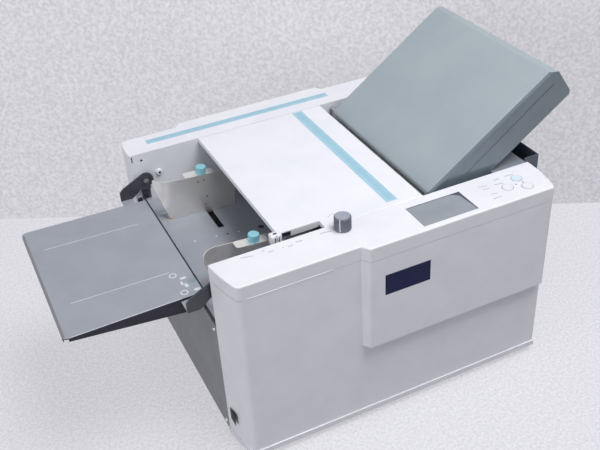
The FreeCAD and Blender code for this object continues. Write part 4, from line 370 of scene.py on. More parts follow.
    # Painted shade: near black and without a highlight, for the insides of holes, grooves and notches and
    # for the shaded hinge stops.
    HOLE = Finish("dark_hole", "black_plastic", "#1A1B24", "#12131A", (0.7, 0.8), 10, 1.0, 0.003)


FLOOR_LOOK = StageFinish("pale_floor", "", "#939396", "#87878B", (0.75, 0.85), 5, 3.0, 0.02, lift=1.85)
BACKDROP_LOOK = StageFinish("pale_backdrop", "", "#A9A8AC", "#98979B", (0.8, 0.9), 7, 3.0, 0.02, lift=1.15,
                            one_sided=True)

CAD_LOOKS: dict[Look, tuple[str, ...]] = {
    Look.ZINC: ("base_plate", "feed_path_guides", "upper_fold_plates", "upper_fold_stop",
                "lower_fold_plates", "lower_fold_stop", "motor_pulley", "exit_chute"),
    Look.FOOT: ("rubber_feet",),
    Look.WALL: ("front_side_frame", "rear_side_frame"),
    Look.TURNED: ("tie_rods", "panel_screws", "wall_pins", "fold_roller_1", "fold_roller_2",
                  "fold_roller_3", "fold_roller_4", "roller_bearings", "stop_guide_rods"),
    Look.END: ("left_end_panel",),
    Look.DECK: ("right_end_cover",),
    Look.ARM: ("tray_stop_brackets", "tray_arms"),
    Look.COVER: ("front_cover", "control_panel_cap", "rear_cover"),
    Look.SCREEN: ("display_screen",),
    Look.BOARD: ("control_board",),
    Look.LENS: ("start_button",),
    Look.BUTTON: ("reset_button", "stop_button"),
    Look.KNOB: ("adjust_knob",),
    Look.BLACK: ("knob_encoder", "power_inlet", "power_rocker", "drive_motor"),
    Look.ALUMINIUM: ("power_supply",),
    Look.TRAY: ("feed_tray", "paper_table"),
    Look.STAINLESS: ("rear_paper_guide", "front_paper_guide"),
    Look.CYAN: ("rear_guide_knob", "front_guide_knob"),
    Look.LID: ("top_cover",),
    Look.WHITE: ("release_lever", "roller_gear_1", "drive_gear", "roller_gear_3", "roller_gear_4"),
    Look.RUBBER: ("feed_roller", "separator_pad", "exit_roller_upper", "exit_roller_lower"),
    Look.UNIT: ("fold_unit_upper_shell",),
    Look.UNIT_LOW: ("fold_unit_lower_shell",),
    Look.BELT: ("drive_belt", "exit_belt"),
    Look.DELIVERY: ("delivery_tray", "delivery_hinge_brackets"),
}


# Places and meshes
@dataclass(frozen=True)
class Machine:
    """The machine's own axes: X is counted from a datum 300 mm right of the left end panel."""

    left_end_mm: float = -300.0
    cover_top: float = 356.0
    skin: float = 0.12
    table_hinge: Point = (-288.0, 0.0, 250.0)
    table_tilt: float = math.radians(4.0)

    def datum_x(self) -> float:
        """Returns the datum's X in the row frame, in millimetres."""
        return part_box("left_end_panel")[0].x * METRE - self.left_end_mm

    def point(self, x: float, y: float, z: float) -> Vector:
        """Turns a place in the machine's axes into the row frame.

        Args:
            x: millimetres along the paper's way.
            y: millimetres towards the rear.
            z: millimetres over the floor.

        Returns:
            The place in metres.
        """
        return Vector((x + self.datum_x(), y, z)) / METRE

    def tilted(self, mesh: Mesh) -> Mesh:
        """Tilts a mesh that was made level about the paper table's hinge.

        Args:
            mesh: the mesh, which is changed.

        Returns:
            The same mesh.
        """
        hinge = self.point(*self.table_hinge)
        turn = Matrix.Rotation(self.table_tilt, 4, "Y")
        mesh.transform(Matrix.Translation(hinge) @ turn @ Matrix.Translation(-hinge))
        return mesh

    def placed(self, mesh: Mesh, place: Vector, turn: Matrix) -> Mesh:
        """Turns a mesh that was made about the datum and moves it to its place.

        Args:
            mesh: the mesh, which is changed.
            place: where the datum's point goes, in metres.
            turn: the turn about it.

        Returns:
            The same mesh.
        """
        mesh.transform(Matrix.Translation(-self.point(0, 0, 0)))
        mesh.transform(Matrix.Translation(place) @ turn)
        return mesh

    def seat(self, node: str, origin: Point, way: Point) -> tuple[Vector, Vector]:
        """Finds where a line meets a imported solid.

        Args:
            node: the solid's node.
            origin: where the line starts, in millimetres.
            way: its direction.

        Returns:
            The place in metres and the surface's normal.
        """
        hit, place, normal, _ = frame["nodes"][node].ray_cast(self.point(*origin), Vector(way))
        if not hit:
            raise ValueError(f"nothing of {node} lies on the line from {origin}")
        return place, normal

    def front_of(self, node: str, origin: Point) -> float:
        """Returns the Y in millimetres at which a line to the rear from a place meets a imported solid."""
        return self.seat(node, origin, REARWARD)[0].y * METRE


MACHINE = Machine()


def new_object(name: str, mesh: Mesh, look: Look, body: str) -> bpy.types.Object:
    """Links a finished mesh as a piece of the machine.

    Args:
        name: the piece's name.
        mesh: its mesh, in metres in the row frame.
        look: its finish, unless the mesh has its own materials.
        body: the CAD body that it rides on.

    Returns:
        The piece.
    """
    piece = bpy.data.objects.new(name, mesh)
    bpy.context.scene.collection.objects.link(piece)
    if not mesh.materials:
        mesh.materials.append(look.value.material())
    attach(piece, body)
    return piece


def mesh_from(work: bmesh.types.BMesh, name: str, smooth: bool = False) -> Mesh:
    """Closes a bmesh into a mesh whose faces point outwards.

    Args:
        work: the bmesh, which is freed.
        name: the mesh's name.
        smooth: whether its gentle edges are shaded smooth.

    Returns:
        The mesh.
    """
    bmesh.ops.remove_doubles(work, verts=work.verts, dist=MERGE_DISTANCE)
    bmesh.ops.recalc_face_normals(work, faces=work.faces)
    for face in work.faces:
        face.smooth = smooth
    for edge in work.edges:
        edge.smooth = len(edge.link_faces) == 2 and edge.calc_face_angle() < SHARP_ANGLE
    mesh = bpy.data.meshes.new(name)
    work.to_mesh(mesh)
    work.free()
    return mesh


def slab(name: str, outline: Outline, bottom: float, top: float, bevel: float = 0.0) -> Mesh:
    """Makes a plate from its outline in plan.

    Args:
        name: the mesh's name.
        outline: its corners in X and Y, in millimetres.
        bottom: the height of its underside.
        top: the height of its upper side.
        bevel: the width of its softened edges, in millimetres.

    Returns:
        The mesh in the row frame.
    """
    work = bmesh.new()
    base = [work.verts.new(MACHINE.point(x, y, bottom)) for x, y in outline]
    face = work.faces.new(base)
    raised = bmesh.ops.extrude_face_region(work, geom=[face])["geom"]
    lift = MACHINE.point(0, 0, top) - MACHINE.point(0, 0, bottom)
    bmesh.ops.translate(work, verts=[v for v in raised if isinstance(v, bmesh.types.BMVert)], vec=lift)
    if bevel:
        bmesh.ops.bevel(work, geom=list(work.edges), offset=bevel / METRE, segments=2, affect="EDGES",
                        profile=0.5, clamp_overlap=True)
    return mesh_from(work, name)


def rectangle(x0: float, x1: float, y0: float, y1: float) -> Outline:
    """Returns the corners of a rectangle."""
    return [(x0, y0), (x1, y0), (x1, y1), (x0, y1)]


def oval(x: float, y: float, half_x: float, half_y: float, sides: int = 24) -> Outline:
    """Returns the corners of an oval.

    Args:
        x: its centre along X.
        y: its centre along Y.
        half_x: half its length along X.
        half_y: half its width along Y.
        sides: how many corners it has.

    Returns:
        The corners.
    """
    angles = [2 * math.pi * k / sides for k in range(sides)]
    return [(x + half_x * math.cos(angle), y + half_y * math.sin(angle)) for angle in angles]


def bar(start: Pair, end: Pair, width: float) -> Outline:
    """Draws a straight bar between two places.

    Args:
        start: the middle of its first end.
        end: the middle of its other end.
        width: its width in millimetres.

    Returns:
        The corners.
    """
    along = (Vector(end) - Vector(start)).normalized()
    side = Vector((-along.y, along.x)) * width / 2
    a, b = Vector(start), Vector(end)
    return [tuple(p) for p in (a - side, b - side, b + side, a + side)]


def block(name: str, low: Point, high: Point, bevel: float = 0.0) -> Mesh:
    """Makes a block, with softened edges where it has a bevel.

    Args:
        name: the mesh's name.
        low: its lowest corner, in millimetres.
        high: its highest corner.
        bevel: the width of its softened edges.

    Returns:
        The mesh in the row frame.
    """
    return slab(name, rectangle(low[0], high[0], low[1], high[1]), low[2], high[2], bevel)


def ring_band(name: str, centre: Pair, radii: Pair, under: float, steps: int = 32) -> Mesh:
    """Makes a flat ring as thin as a print.

    Args:
        name: the mesh's name.
        centre: its centre in X and Y, in millimetres.
        radii: its inner and outer radius.
        under: the height that it lies on.
        steps: how many flats it has.

    Returns:
        The mesh in the row frame.
    """
    work = bmesh.new()
    top = under + MACHINE.skin
    section = ((radii[0], under), (radii[1], under), (radii[1], top), (radii[0], top))
    corners = []
    for step in range(steps + 1):
        angle = 2 * math.pi * step / steps
        corners.append([work.verts.new(MACHINE.point(centre[0] + r * math.cos(angle),
                                                     centre[1] + r * math.sin(angle), z))
                        for r, z in section])
    for here, there in zip(corners, corners[1:]):
        for at in range(len(section)):
            following = (at + 1) % len(section)
            work.faces.new((here[at], here[following], there[following], there[at]))
    return mesh_from(work, name)


def cap_profile(radius: float, height: float, foot: tuple[Pair, ...], rim: tuple[Pair, ...]) -> Outline:
    """Draws the profile of a turned cap.

    Args:
        radius: the cap's radius in millimetres.
        height: its height.
        foot: corners near its foot, as the way in from the radius and the rise.
        rim: corners near its rim, as the way in and the drop from the height.

    Returns:
        Radii and heights from the foot upwards, which start and end on the axis.
    """
    corners = [(radius - inward, rise) for inward, rise in foot]
    corners += [(radius - inward, height - drop) for inward, drop in rim]
    return [(0, corners[0][1]), *corners, (0, corners[-1][1])]


def turned(name: str, profile: Outline, foot: Vector, axis: Point = UPWARD, sides: int = 48) -> Mesh:
    """Turns a profile about an axis.

    Args:
        name: the mesh's name.
        profile: radii and heights from the foot, in millimetres, which start and end on the axis or meet.
        foot: where the axis starts, in metres.
        axis: its direction.
        sides: how many sides the turned form has.

    Returns:
        The mesh in the row frame.
    """
    work = bmesh.new()
    turn = Vector(UPWARD).rotation_difference(Vector(axis)).to_matrix()
    rings = []
    for radius, height in profile:
        ring = []
        for side in range(sides if radius else 1):
            angle = 2 * math.pi * side / sides
            corner = Vector((radius * math.cos(angle), radius * math.sin(angle), height)) / METRE
            ring.append(work.verts.new(foot + turn @ corner))
        rings.append(ring)
    for lower, upper in zip(rings, rings[1:]):
        for side in range(sides):
            following = (side + 1) % sides
            corners = [lower[side % len(lower)], lower[following % len(lower)],
                       upper[following % len(upper)], upper[side % len(upper)]]
            corners = [v for at, v in enumerate(corners) if v not in corners[:at]]
            if len(corners) > 2:
                work.faces.new(corners)
    return mesh_from(work, name, smooth=True)


def skin_of(name: str, node: str, keep: Callable[[Vector, Vector], bool], thickness: float) -> Mesh:
    """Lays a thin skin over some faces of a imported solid.

    Args:
        name: the mesh's name.
        node: the solid's node.
        keep: tells from a face's centre, in millimetres of the machine's axes, and its normal whether the
            face gets the skin.
        thickness: the skin's thickness in millimetres.

    Returns:
        The mesh in the row frame.
    """
    work = bmesh.new()
    work.from_mesh(frame["nodes"][node].data)
    bmesh.ops.remove_doubles(work, verts=work.verts, dist=MERGE_DISTANCE)
    datum = MACHINE.point(0, 0, 0)
    bare = [f for f in work.faces if not keep((f.calc_center_median() - datum) * METRE, f.normal)]
    bmesh.ops.delete(work, geom=bare, context="FACES")
    lifted = {v: sum((f.normal for f in v.link_faces), Vector()).normalized() for v in work.verts}
    raised = bmesh.ops.extrude_face_region(work, geom=list(work.faces))["geom"]
    ways = {tuple(v.co): way for v, way in lifted.items() if v.is_valid}
    for vert in (v for v in raised if isinstance(v, bmesh.types.BMVert)):
        vert.co += ways[tuple(vert.co)] * thickness / METRE
    return mesh_from(work, name)


def joined(name: str, meshes: list[Mesh]) -> Mesh:
    """Joins meshes of one finish into one.

    Args:
        name: the new mesh's name.
        meshes: the meshes, which are removed.

    Returns:
        The joined mesh.
    """
    work = bmesh.new()
    for mesh in meshes:
        work.from_mesh(mesh)
        bpy.data.meshes.remove(mesh)
    whole = bpy.data.meshes.new(name)
    work.to_mesh(whole)
    work.free()
    return whole


def prints(name: str, outlines: list[Outline], under: float) -> Mesh:
    """Makes thin prints that lie on a level face.

    Args:
        name: the mesh's name.
        outlines: the corners of each print in X and Y, in millimetres.
        under: the height of the face.

    Returns:
        The mesh in the row frame.
    """
    return joined(name, [slab("print", outline, under, under + MACHINE.skin) for outline in outlines])


# Geometry Nodes
class Rule(Enum):
    """The kinds of repeat that the node trees make."""

    TICKS = "ticks"
    RIBS = "ribs"
    HEADS = "heads"


@dataclass(frozen=True)
class Repeat:
    """A Geometry Nodes tree that repeats a small form, with named inputs for its sizes in metres."""

    rule: Rule

    def sockets(self) -> list[tuple[str, str]]:
        """Lists the tree's inputs.

        Returns:
            Their names and types.
        """
        sizes = {
            Rule.TICKS: ["Pitch", "Width", "Length", "Height"],
            Rule.RIBS: ["Radius", "Width", "Depth", "Height"],
            Rule.HEADS: ["Radius", "Height", "Recess"],
        }[self.rule]
        numbers = [] if self.rule is Rule.HEADS else [("Count", "NodeSocketInt")]
        return numbers + [(name, "NodeSocketFloat") for name in sizes] + [("Finish", "NodeSocketMaterial")]

    def tree(self) -> Tree:
        """Builds the tree once.

        Returns:
            The tree.
        """
        known = bpy.data.node_groups.get(self.rule.value)
        if known is not None:
            return known
        tree = bpy.data.node_groups.new(self.rule.value, "GeometryNodeTree")
        tree.interface.new_socket("Geometry", in_out="INPUT", socket_type="NodeSocketGeometry")
        for name, kind in self.sockets():
            tree.interface.new_socket(name, in_out="INPUT", socket_type=kind)
        tree.interface.new_socket("Geometry", in_out="OUTPUT", socket_type="NodeSocketGeometry")
        given = add_node(tree, "NodeGroupInput").outputs
        makers = {Rule.TICKS: self.ticks, Rule.RIBS: self.ribs, Rule.HEADS: self.heads}
        spread = add_node(tree, "GeometryNodeInstanceOnPoints", None, makers[self.rule](tree, given))
        real = add_node(tree, "GeometryNodeRealizeInstances", None,
                        {"Geometry": spread.outputs["Instances"]})
        dressed = add_node(tree, "GeometryNodeSetMaterial", None,
                           {"Geometry": real.outputs["Geometry"], "Material": given["Finish"]})
        add_node(tree, "NodeGroupOutput", None, {"Geometry": dressed.outputs["Geometry"]})
        return tree

    def cube(self, tree: Tree, x: Socket, y: Socket, z: Socket) -> Socket:
        """Adds a small block of three sizes and returns its mesh socket."""
        size = add_node(tree, "ShaderNodeCombineXYZ", None, {"X": x, "Y": y, "Z": z})
        return add_node(tree, "GeometryNodeMeshCube", None, {"Size": size.outputs["Vector"]}).outputs["Mesh"]

    def ticks(self, tree: Tree, given: bpy.types.NodeOutputs) -> dict[str, Socket]:
        """Lays small bars along X at an even pitch.

        Args:
            tree: the tree being built.
            given: its inputs.

        Returns:
            The inputs of the node that spreads the copies.
        """
        step = add_node(tree, "ShaderNodeCombineXYZ", None, {"X": given["Pitch"]})
        line = add_node(tree, "GeometryNodeMeshLine", {"mode": "OFFSET"},
                        {"Count": given["Count"], "Offset": step.outputs["Vector"]})
        return {"Points": line.outputs["Mesh"],
                "Instance": self.cube(tree, given["Width"], given["Length"], given["Height"])}

    def ribs(self, tree: Tree, given: bpy.types.NodeOutputs) -> dict[str, Socket]:
        """Sets small ribs round a knob, each turned to face outward.

        Args:
            tree: the tree being built.
            given: its inputs.

        Returns:
            The inputs of the node that spreads the copies.
        """
        ring = add_node(tree, "GeometryNodeMeshCircle", None,
                        {"Vertices": given["Count"], "Radius": given["Radius"]})
        out = add_node(tree, "FunctionNodeAlignRotationToVector", {"axis": "X", "pivot_axis": "Z"},
                       {"Vector": add_node(tree, "GeometryNodeInputPosition").outputs["Position"]})
        return {"Points": ring.outputs["Mesh"], "Rotation": out.outputs["Rotation"],
                "Instance": self.cube(tree, given["Depth"], given["Width"], given["Height"])}

    def heads(self, tree: Tree, given: bpy.types.NodeOutputs) -> dict[str, Socket]:
        """Sets a domed head with a hexagon recess on each given point, along its own facing.

        Args:
            tree: the tree being built.
            given: its inputs.

        Returns:
            The inputs of the node that spreads the copies.
        """
        head = add_node(tree, "GeometryNodeMeshCone", {"fill_type": "NGON"},
                        {"Vertices": HEAD_SIDES, "Radius Top": given["Recess"],
                         "Radius Bottom": given["Radius"], "Depth": given["Height"]})
        socket = add_node(tree, "GeometryNodeMeshCylinder", {"fill_type": "NGON"},
                          {"Vertices": RECESS_SIDES, "Radius": given["Recess"], "Depth": given["Height"]})
        rise = add_node(tree, "ShaderNodeMath", {"operation": "MULTIPLY"},
                        {0: given["Height"], 1: RECESS_RISE})
        lift = add_node(tree, "ShaderNodeCombineXYZ", None, {"Z": rise.outputs["Value"]})
        raised = add_node(tree, "GeometryNodeTransform", None,
                          {"Geometry": socket.outputs["Mesh"], "Translation": lift.outputs["Vector"]})
        cut = add_node(tree, "GeometryNodeMeshBoolean", {"operation": "DIFFERENCE", "solver": "EXACT"},
                       {"Mesh 1": head.outputs["Mesh"], "Mesh 2": raised.outputs["Geometry"]})
        facing = add_node(tree, "GeometryNodeInputNamedAttribute", {"data_type": "FLOAT_VECTOR"},
                          {"Name": "facing"})
        out = add_node(tree, "FunctionNodeAlignRotationToVector", {"axis": "Z"},
                       {"Vector": facing.outputs["Attribute"]})
        return {"Points": given["Geometry"], "Instance": cut.outputs["Mesh"],
                "Rotation": out.outputs["Rotation"]}

    def mesh(self, name: str, sizes: dict[str, float], look: Look, base: Mesh | None = None) -> Mesh:
        """Runs the tree and returns its result as a plain mesh.

        Args:
            name: the mesh's name.
            sizes: the inputs' values by name, in metres.
            look: the finish of what is repeated.
            base: the points to repeat on, where the rule needs them.

        Returns:
            The mesh, where the tree left it.
        """
        tree = self.tree()
        carrier = bpy.data.objects.new(name, base or bpy.data.meshes.new(name))
        bpy.context.scene.collection.objects.link(carrier)
        modifier = carrier.modifiers.new("repeat", "NODES")
        modifier.node_group = tree
        values = dict(sizes, Finish=look.value.material())
        for item in tree.interface.items_tree:
            if item.in_out == "INPUT" and item.name in values:
                modifier[item.identifier] = values[item.name]
        bpy.context.view_layer.update()
        graph = bpy.context.evaluated_depsgraph_get()
        mesh = bpy.data.meshes.new_from_object(carrier.evaluated_get(graph))
        carrier.modifiers.clear()
        bpy.data.objects.remove(carrier)
        mesh.name = name
        return mesh


def screw_heads(name: str, seats: list[tuple[Vector, Vector]], look: Look, body: str, radius: float = 3.4,
                height: float = 1.5) -> None:
    """Sets small screw heads on their seats.

    Args:
        name: the piece's name.
        seats: each head's place in metres and the way that it faces.
        look: its finish.
        body: the CAD body that it rides on.
        radius: the head's radius in millimetres.
        height: its height in millimetres.
    """
    points = bpy.data.meshes.new(name)
    points.from_pydata([place for place, _ in seats], [], [])
    facing = points.attributes.new("facing", "FLOAT_VECTOR", "POINT")
    facing.data.foreach_set("vector", [value for _, way in seats for value in way])
    sizes = {"Radius": radius / METRE, "Height": height / METRE, "Recess": radius / 2 / METRE}
    new_object(name, Repeat(Rule.HEADS).mesh(name, sizes, look, points), look, body)


def knob_ribs(name: str, count: int, radius: float, rib: Point, centre: Point, look: Look) -> Mesh:
    """Makes the ribs of a knob.

    Args:
        name: the mesh's name.
        count: how many ribs it has.
        radius: how far from the axis their middles are, in millimetres.
        rib: a rib's depth, width and height.
        centre: the middle of their ring in the machine's axes.
        look: their finish.

    Returns:
        The mesh in the row frame.
    """
    depth, width, height = (size / METRE for size in rib)
    sizes = {"Count": count, "Radius": radius / METRE, "Depth": depth, "Width": width, "Height": height}
    ribs = Repeat(Rule.RIBS).mesh(name, sizes, look)
    ribs.transform(Matrix.Translation(MACHINE.point(*centre)))
    return ribs


# Sub-assemblies
@dataclass
class SolidFinishes:
    """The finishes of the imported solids."""

    looks: dict[Look, tuple[str, ...]]

    def build(self) -> None:
        """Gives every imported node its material."""
        bare = set(frame["nodes"])
        for look, names in self.looks.items():
            bare -= set(names)
            for name in names:
                node = frame["nodes"][name]
                if node.material_slots:
                    node.material_slots[0].material = look.value.material()
                else:
                    node.data.materials.append(look.value.material())
        if bare:
            raise ValueError(f"no finish for {sorted(bare)}")


@dataclass
class ScaleStrips:
    """The printed setting scales on the lid and on the rear cover."""

    lid_x: Pair = (4.5, 24.5)
    lid_y: Pair = (-164.0, 182.0)
    rear_x: Pair = (-266.0, 96.0)
    rear_y: Pair = (212.0, 227.0)
    pitch: float = 5.0
    tick_width: float = 1.3
    tick_length: float = 9.0

    def lay(self, side: str, x: Pair, y: Pair, body: str) -> None:
        """Lays a strip and a row of ticks along its longer way.

        Args:
            side: what its pieces' names start with.
            x: where it starts and ends along X, in millimetres.
            y: where it starts and ends along Y.
            body: the CAD body that it rides on.
        """
        strip, row = f"{side}_scale_strip", f"{side}_scale_ticks"
        new_object(strip, prints(strip, [rectangle(*x, *y)], MACHINE.cover_top), Look.STRIP, body)
        along_y = y[1] - y[0] > x[1] - x[0]
        length = (y[1] - y[0] if along_y else x[1] - x[0]) - self.pitch
        first_x = x[1] - self.tick_length if along_y else x[0] + self.pitch
        first_y = y[0] + self.pitch if along_y else y[0] + self.tick_length
        sizes = {"Count": int(length / self.pitch), "Pitch": self.pitch / METRE,
                 "Width": self.tick_width / METRE, "Length": self.tick_length / METRE,
                 "Height": MACHINE.skin / METRE}
        ticks = Repeat(Rule.TICKS).mesh(row, sizes, Look.TICK)
        turn = Matrix.Rotation(math.pi / 2 if along_y else 0, 4, "Z")
        place = MACHINE.point(first_x, first_y, MACHINE.cover_top + MACHINE.skin)
        ticks.transform(Matrix.Translation(place) @ turn)
        new_object(row, ticks, Look.TICK, body)

    def build(self) -> None:
        """Lays both strips and their ticks."""
        self.lay("lid", self.lid_x, self.lid_y, "top_cover")
        self.lay("rear", self.rear_x, self.rear_y, "machine_frame")


@dataclass
class BlankPlate:
    """The dark plate on the raised panel, which stays without any marking."""

    x: Pair = (-53.0, 27.0)
    z: Pair = (260.0, 298.0)
    from_y: float = -518.0
    sunk: float = 0.9

    def build(self) -> None:
        """Lays the plate on the front cover's raised panel."""
        face = MACHINE.front_of("front_cover", (self.x[0], self.from_y, self.z[0]))
        low = (self.x[0], face - MACHINE.skin, self.z[0])
        high = (self.x[1], face + self.sunk, self.z[1])
        new_object("blank_plate", block("blank_plate", low, high), Look.PLATE, "machine_frame")


@dataclass
class ControlPanel:
    """The display's glass border with its painted recess shade, the rings round the buttons, the lamps and
    the small printed marks.
    """

    display_x: Pair = (20.0, 118.0)
    display_y: Pair = (-249.0, -194.0)
    display_z: float = 355.6
    border: float = 1.2
    # Where the border swells at the far right: painted shade of the display recess's walls.
    recess_shade_swell: tuple[Pair, ...] = ((98.0, -195.2), (106.0, -198.0), (113.0, -204.0), (116.8, -247.8))
    rings: tuple[tuple[str, Pair, Look], ...] = (
        ("reset_ring", (191.0, -223.0), Look.GREY_INK), ("stop_ring", (220.0, -235.0), Look.PINK_INK),
        ("start_ring", (219.0, -208.0), Look.GREY_INK))
    ring_radii: Pair = (8.8, 10.0)
    lamps: tuple[Pair, ...] = ((207.5, -222.2), (220.8, -222.4))
    lamp_radius: float = 1.6
    mark_width: float = 2.3
    button_marks: tuple[Segment, ...] = (
        ((205.4, -193.7), (221.7, -195.5)), ((184.1, -195.1), (194.4, -194.2)),
        ((176.6, -206.4), (193.7, -209.5)), ((151.6, -200.2), (166.3, -202.2)),
        ((153.2, -209.7), (166.0, -210.5)), ((156.2, -226.0), (168.0, -228.5)),
        ((152.2, -239.2), (167.5, -238.3)))
    left_marks: tuple[Segment, ...] = (
        ((-251.8, -184.0), (-233.8, -188.1)), ((-218.0, -184.2), (-214.0, -184.4)),
        ((-211.3, -191.2), (-201.6, -191.1)), ((-188.8, -191.4), (-186.0, -191.6)),
        ((-180.1, -193.5), (-171.5, -192.7)), ((-165.0, -188.0), (-154.0, -189.5)),
        ((-123.9, -187.0), (-105.6, -189.6)))

    def border_and_shade_mesh(self) -> Mesh:
        """Makes the dark border of the display's glass, which swells at its far right corner into painted
        shade of the recess walls.

        Returns:
            The mesh in the row frame.
        """
        (x0, x1), (y0, y1) = self.display_x, self.display_y
        far_side = [(x1, y1), (x0, y1), (x0, y1 - self.border), *self.recess_shade_swell, (x1, y0)]
        left_side = rectangle(x0, x0 + self.border / 2, y0, y1 - self.border)
        return prints("display_border", [far_side, left_side], self.display_z)

    def build(self) -> None:
        """Lays the border, rings, lamps and marks on the cap."""
        under = MACHINE.cover_top
        new_object("display_border", self.border_and_shade_mesh(), Look.BEZEL, "machine_frame")
        for name, place, look in self.rings:
            new_object(name, ring_band(name, place, self.ring_radii, under), look, "machine_frame")
        lamps = [oval(x, y, self.lamp_radius, self.lamp_radius) for x, y in self.lamps]
        new_object("panel_lamps", prints("panel_lamps", lamps, under), Look.CYAN_INK, "machine_frame")
        marks = [bar(start, end, self.mark_width) for start, end in self.button_marks + self.left_marks]
        new_object("panel_marks", prints("panel_marks", marks, under), Look.GREY_INK, "machine_frame")


@dataclass
class AdjustKnob:
    """The adjusting knob with its fine ribs, its white pointer line and the arc on the lid beside it."""

    x: float = -88.0
    y: float = -192.0
    base_z: float = 356.5
    height: float = 23.5
    radius: float = 13.2
    foot: tuple[Pair, ...] = ((0.4, 0.0), (0.0, 0.4))
    rim: tuple[Pair, ...] = ((0.7, 1.6), (1.0, 0.7), (1.6, 0.4))
    top_rim: tuple[Pair, ...] = ((1.7, 0.5), (2.0, 0.1), (2.6, 0.0), (3.2, 0.3))
    ribs: int = 54
    rib_depth: float = 0.9
    rib_width: float = 0.8
    rib_sunk: float = 0.25
    rib_margin: float = 2.3
    pointer_angle: float = -136.0
    pointer: Point = (1.9, 1.2, 1.5)
    pointer_proud: float = 0.3
    pointer_bevel: float = 0.2
    guide_mark: tuple[Pair, ...] = ((-94.0, -154.2), (-88.0, -150.4), (-81.4, -150.6))
    mark_width: float = 1.3

    def turned_body(self) -> None:
        """Turns the knob and its smooth top, and replaces the plain solid."""
        foot = MACHINE.point(self.x, self.y, self.base_z)
        top = turned("adjust_knob_top", cap_profile(self.radius, self.height, (), self.top_rim), foot)
        new_object("adjust_knob_top", top, Look.KNOB_TOP, "adjust_knob")
        profile = cap_profile(self.radius, self.height, self.foot, self.rim)
        knob = new_object("ribbed_adjust_knob", turned("ribbed_adjust_knob", profile, foot), Look.KNOB,
                          "adjust_knob")
        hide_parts("adjust_knob")

    def rib_ring(self) -> None:
        """Sets the fine ribs round the knob."""
        rib_height = self.height - 2 * self.rib_margin
        centre = (self.x, self.y, self.base_z + self.height / 2)
        ribs = knob_ribs("adjust_knob_ribs", self.ribs, self.radius - self.rib_sunk,
                         (self.rib_depth, self.rib_width, rib_height), centre, Look.KNOB)
        new_object("adjust_knob_ribs", ribs, Look.KNOB, "adjust_knob")

    def pointer_line(self) -> None:
        """Sets the white line on the knob's flank, from near its foot up to its flat top."""
        angle = math.radians(self.pointer_angle)
        wide, deep, foot_z = self.pointer
        line = block("adjust_knob_pointer", (-wide / 2, -deep / 2, foot_z),
                     (wide / 2, deep / 2, self.height - self.rim[-1][1]), self.pointer_bevel)
        out = self.radius - deep / 2 + self.pointer_proud
        place = MACHINE.point(self.x + out * math.cos(angle), self.y + out * math.sin(angle), self.base_z)
        MACHINE.placed(line, place, Matrix.Rotation(angle + math.pi / 2, 4, "Z"))
        new_object("adjust_knob_pointer", line, Look.WHITE_INK, "adjust_knob")

    def build(self) -> None:
        """Builds the knob with its ribs and pointer, and lays the arc on the lid."""
        self.turned_body()
        self.rib_ring()
        self.pointer_line()
        ends = zip(self.guide_mark, self.guide_mark[1:])
        marks = [bar(start, end, self.mark_width) for start, end in ends]
        new_object("knob_arc", prints("knob_arc", marks, MACHINE.cover_top), Look.GREY_INK, "top_cover")


@dataclass
class GuideKnobs:
    """The two lock knobs on the paper guides, ribbed and dished, on the tilt of the table."""

    x: float = -209.0
    places: tuple[tuple[str, str, float], ...] = (("rear", "rear_guide_knob", 118.2),
                                                  ("front", "front_guide_knob", -114.2))
    base_z: float = 333.3
    height: float = 11.8
    radius: float = 8.6
    foot: tuple[Pair, ...] = ((0.3, 0.0), (0.0, 0.5))
    rim: tuple[Pair, ...] = ((0.0, 1.4), (0.5, 0.5), (1.4, 0.0), (2.6, 0.0), (3.2, 0.9))
    ribs: int = 20
    rib: Point = (0.8, 1.2, 8.4)
    rib_drop: float = 0.5

    def build(self) -> None:
        """Sets a dished cap and ribs over each knob."""
        profile = cap_profile(self.radius, self.height, self.foot, self.rim)
        for side, body, y in self.places:
            cap_name, ribs_name = f"{side}_lock_knob_cap", f"{side}_lock_knob_ribs"
            cap = turned(cap_name, profile, MACHINE.point(self.x, y, self.base_z))
            new_object(cap_name, MACHINE.tilted(cap), Look.CYAN, body)
            centre = (self.x, y, self.base_z + self.height / 2 - self.rib_drop)
            ribs = knob_ribs(ribs_name, self.ribs, self.radius, self.rib, centre, Look.CYAN)
            new_object(ribs_name, MACHINE.tilted(ribs), Look.CYAN, body)


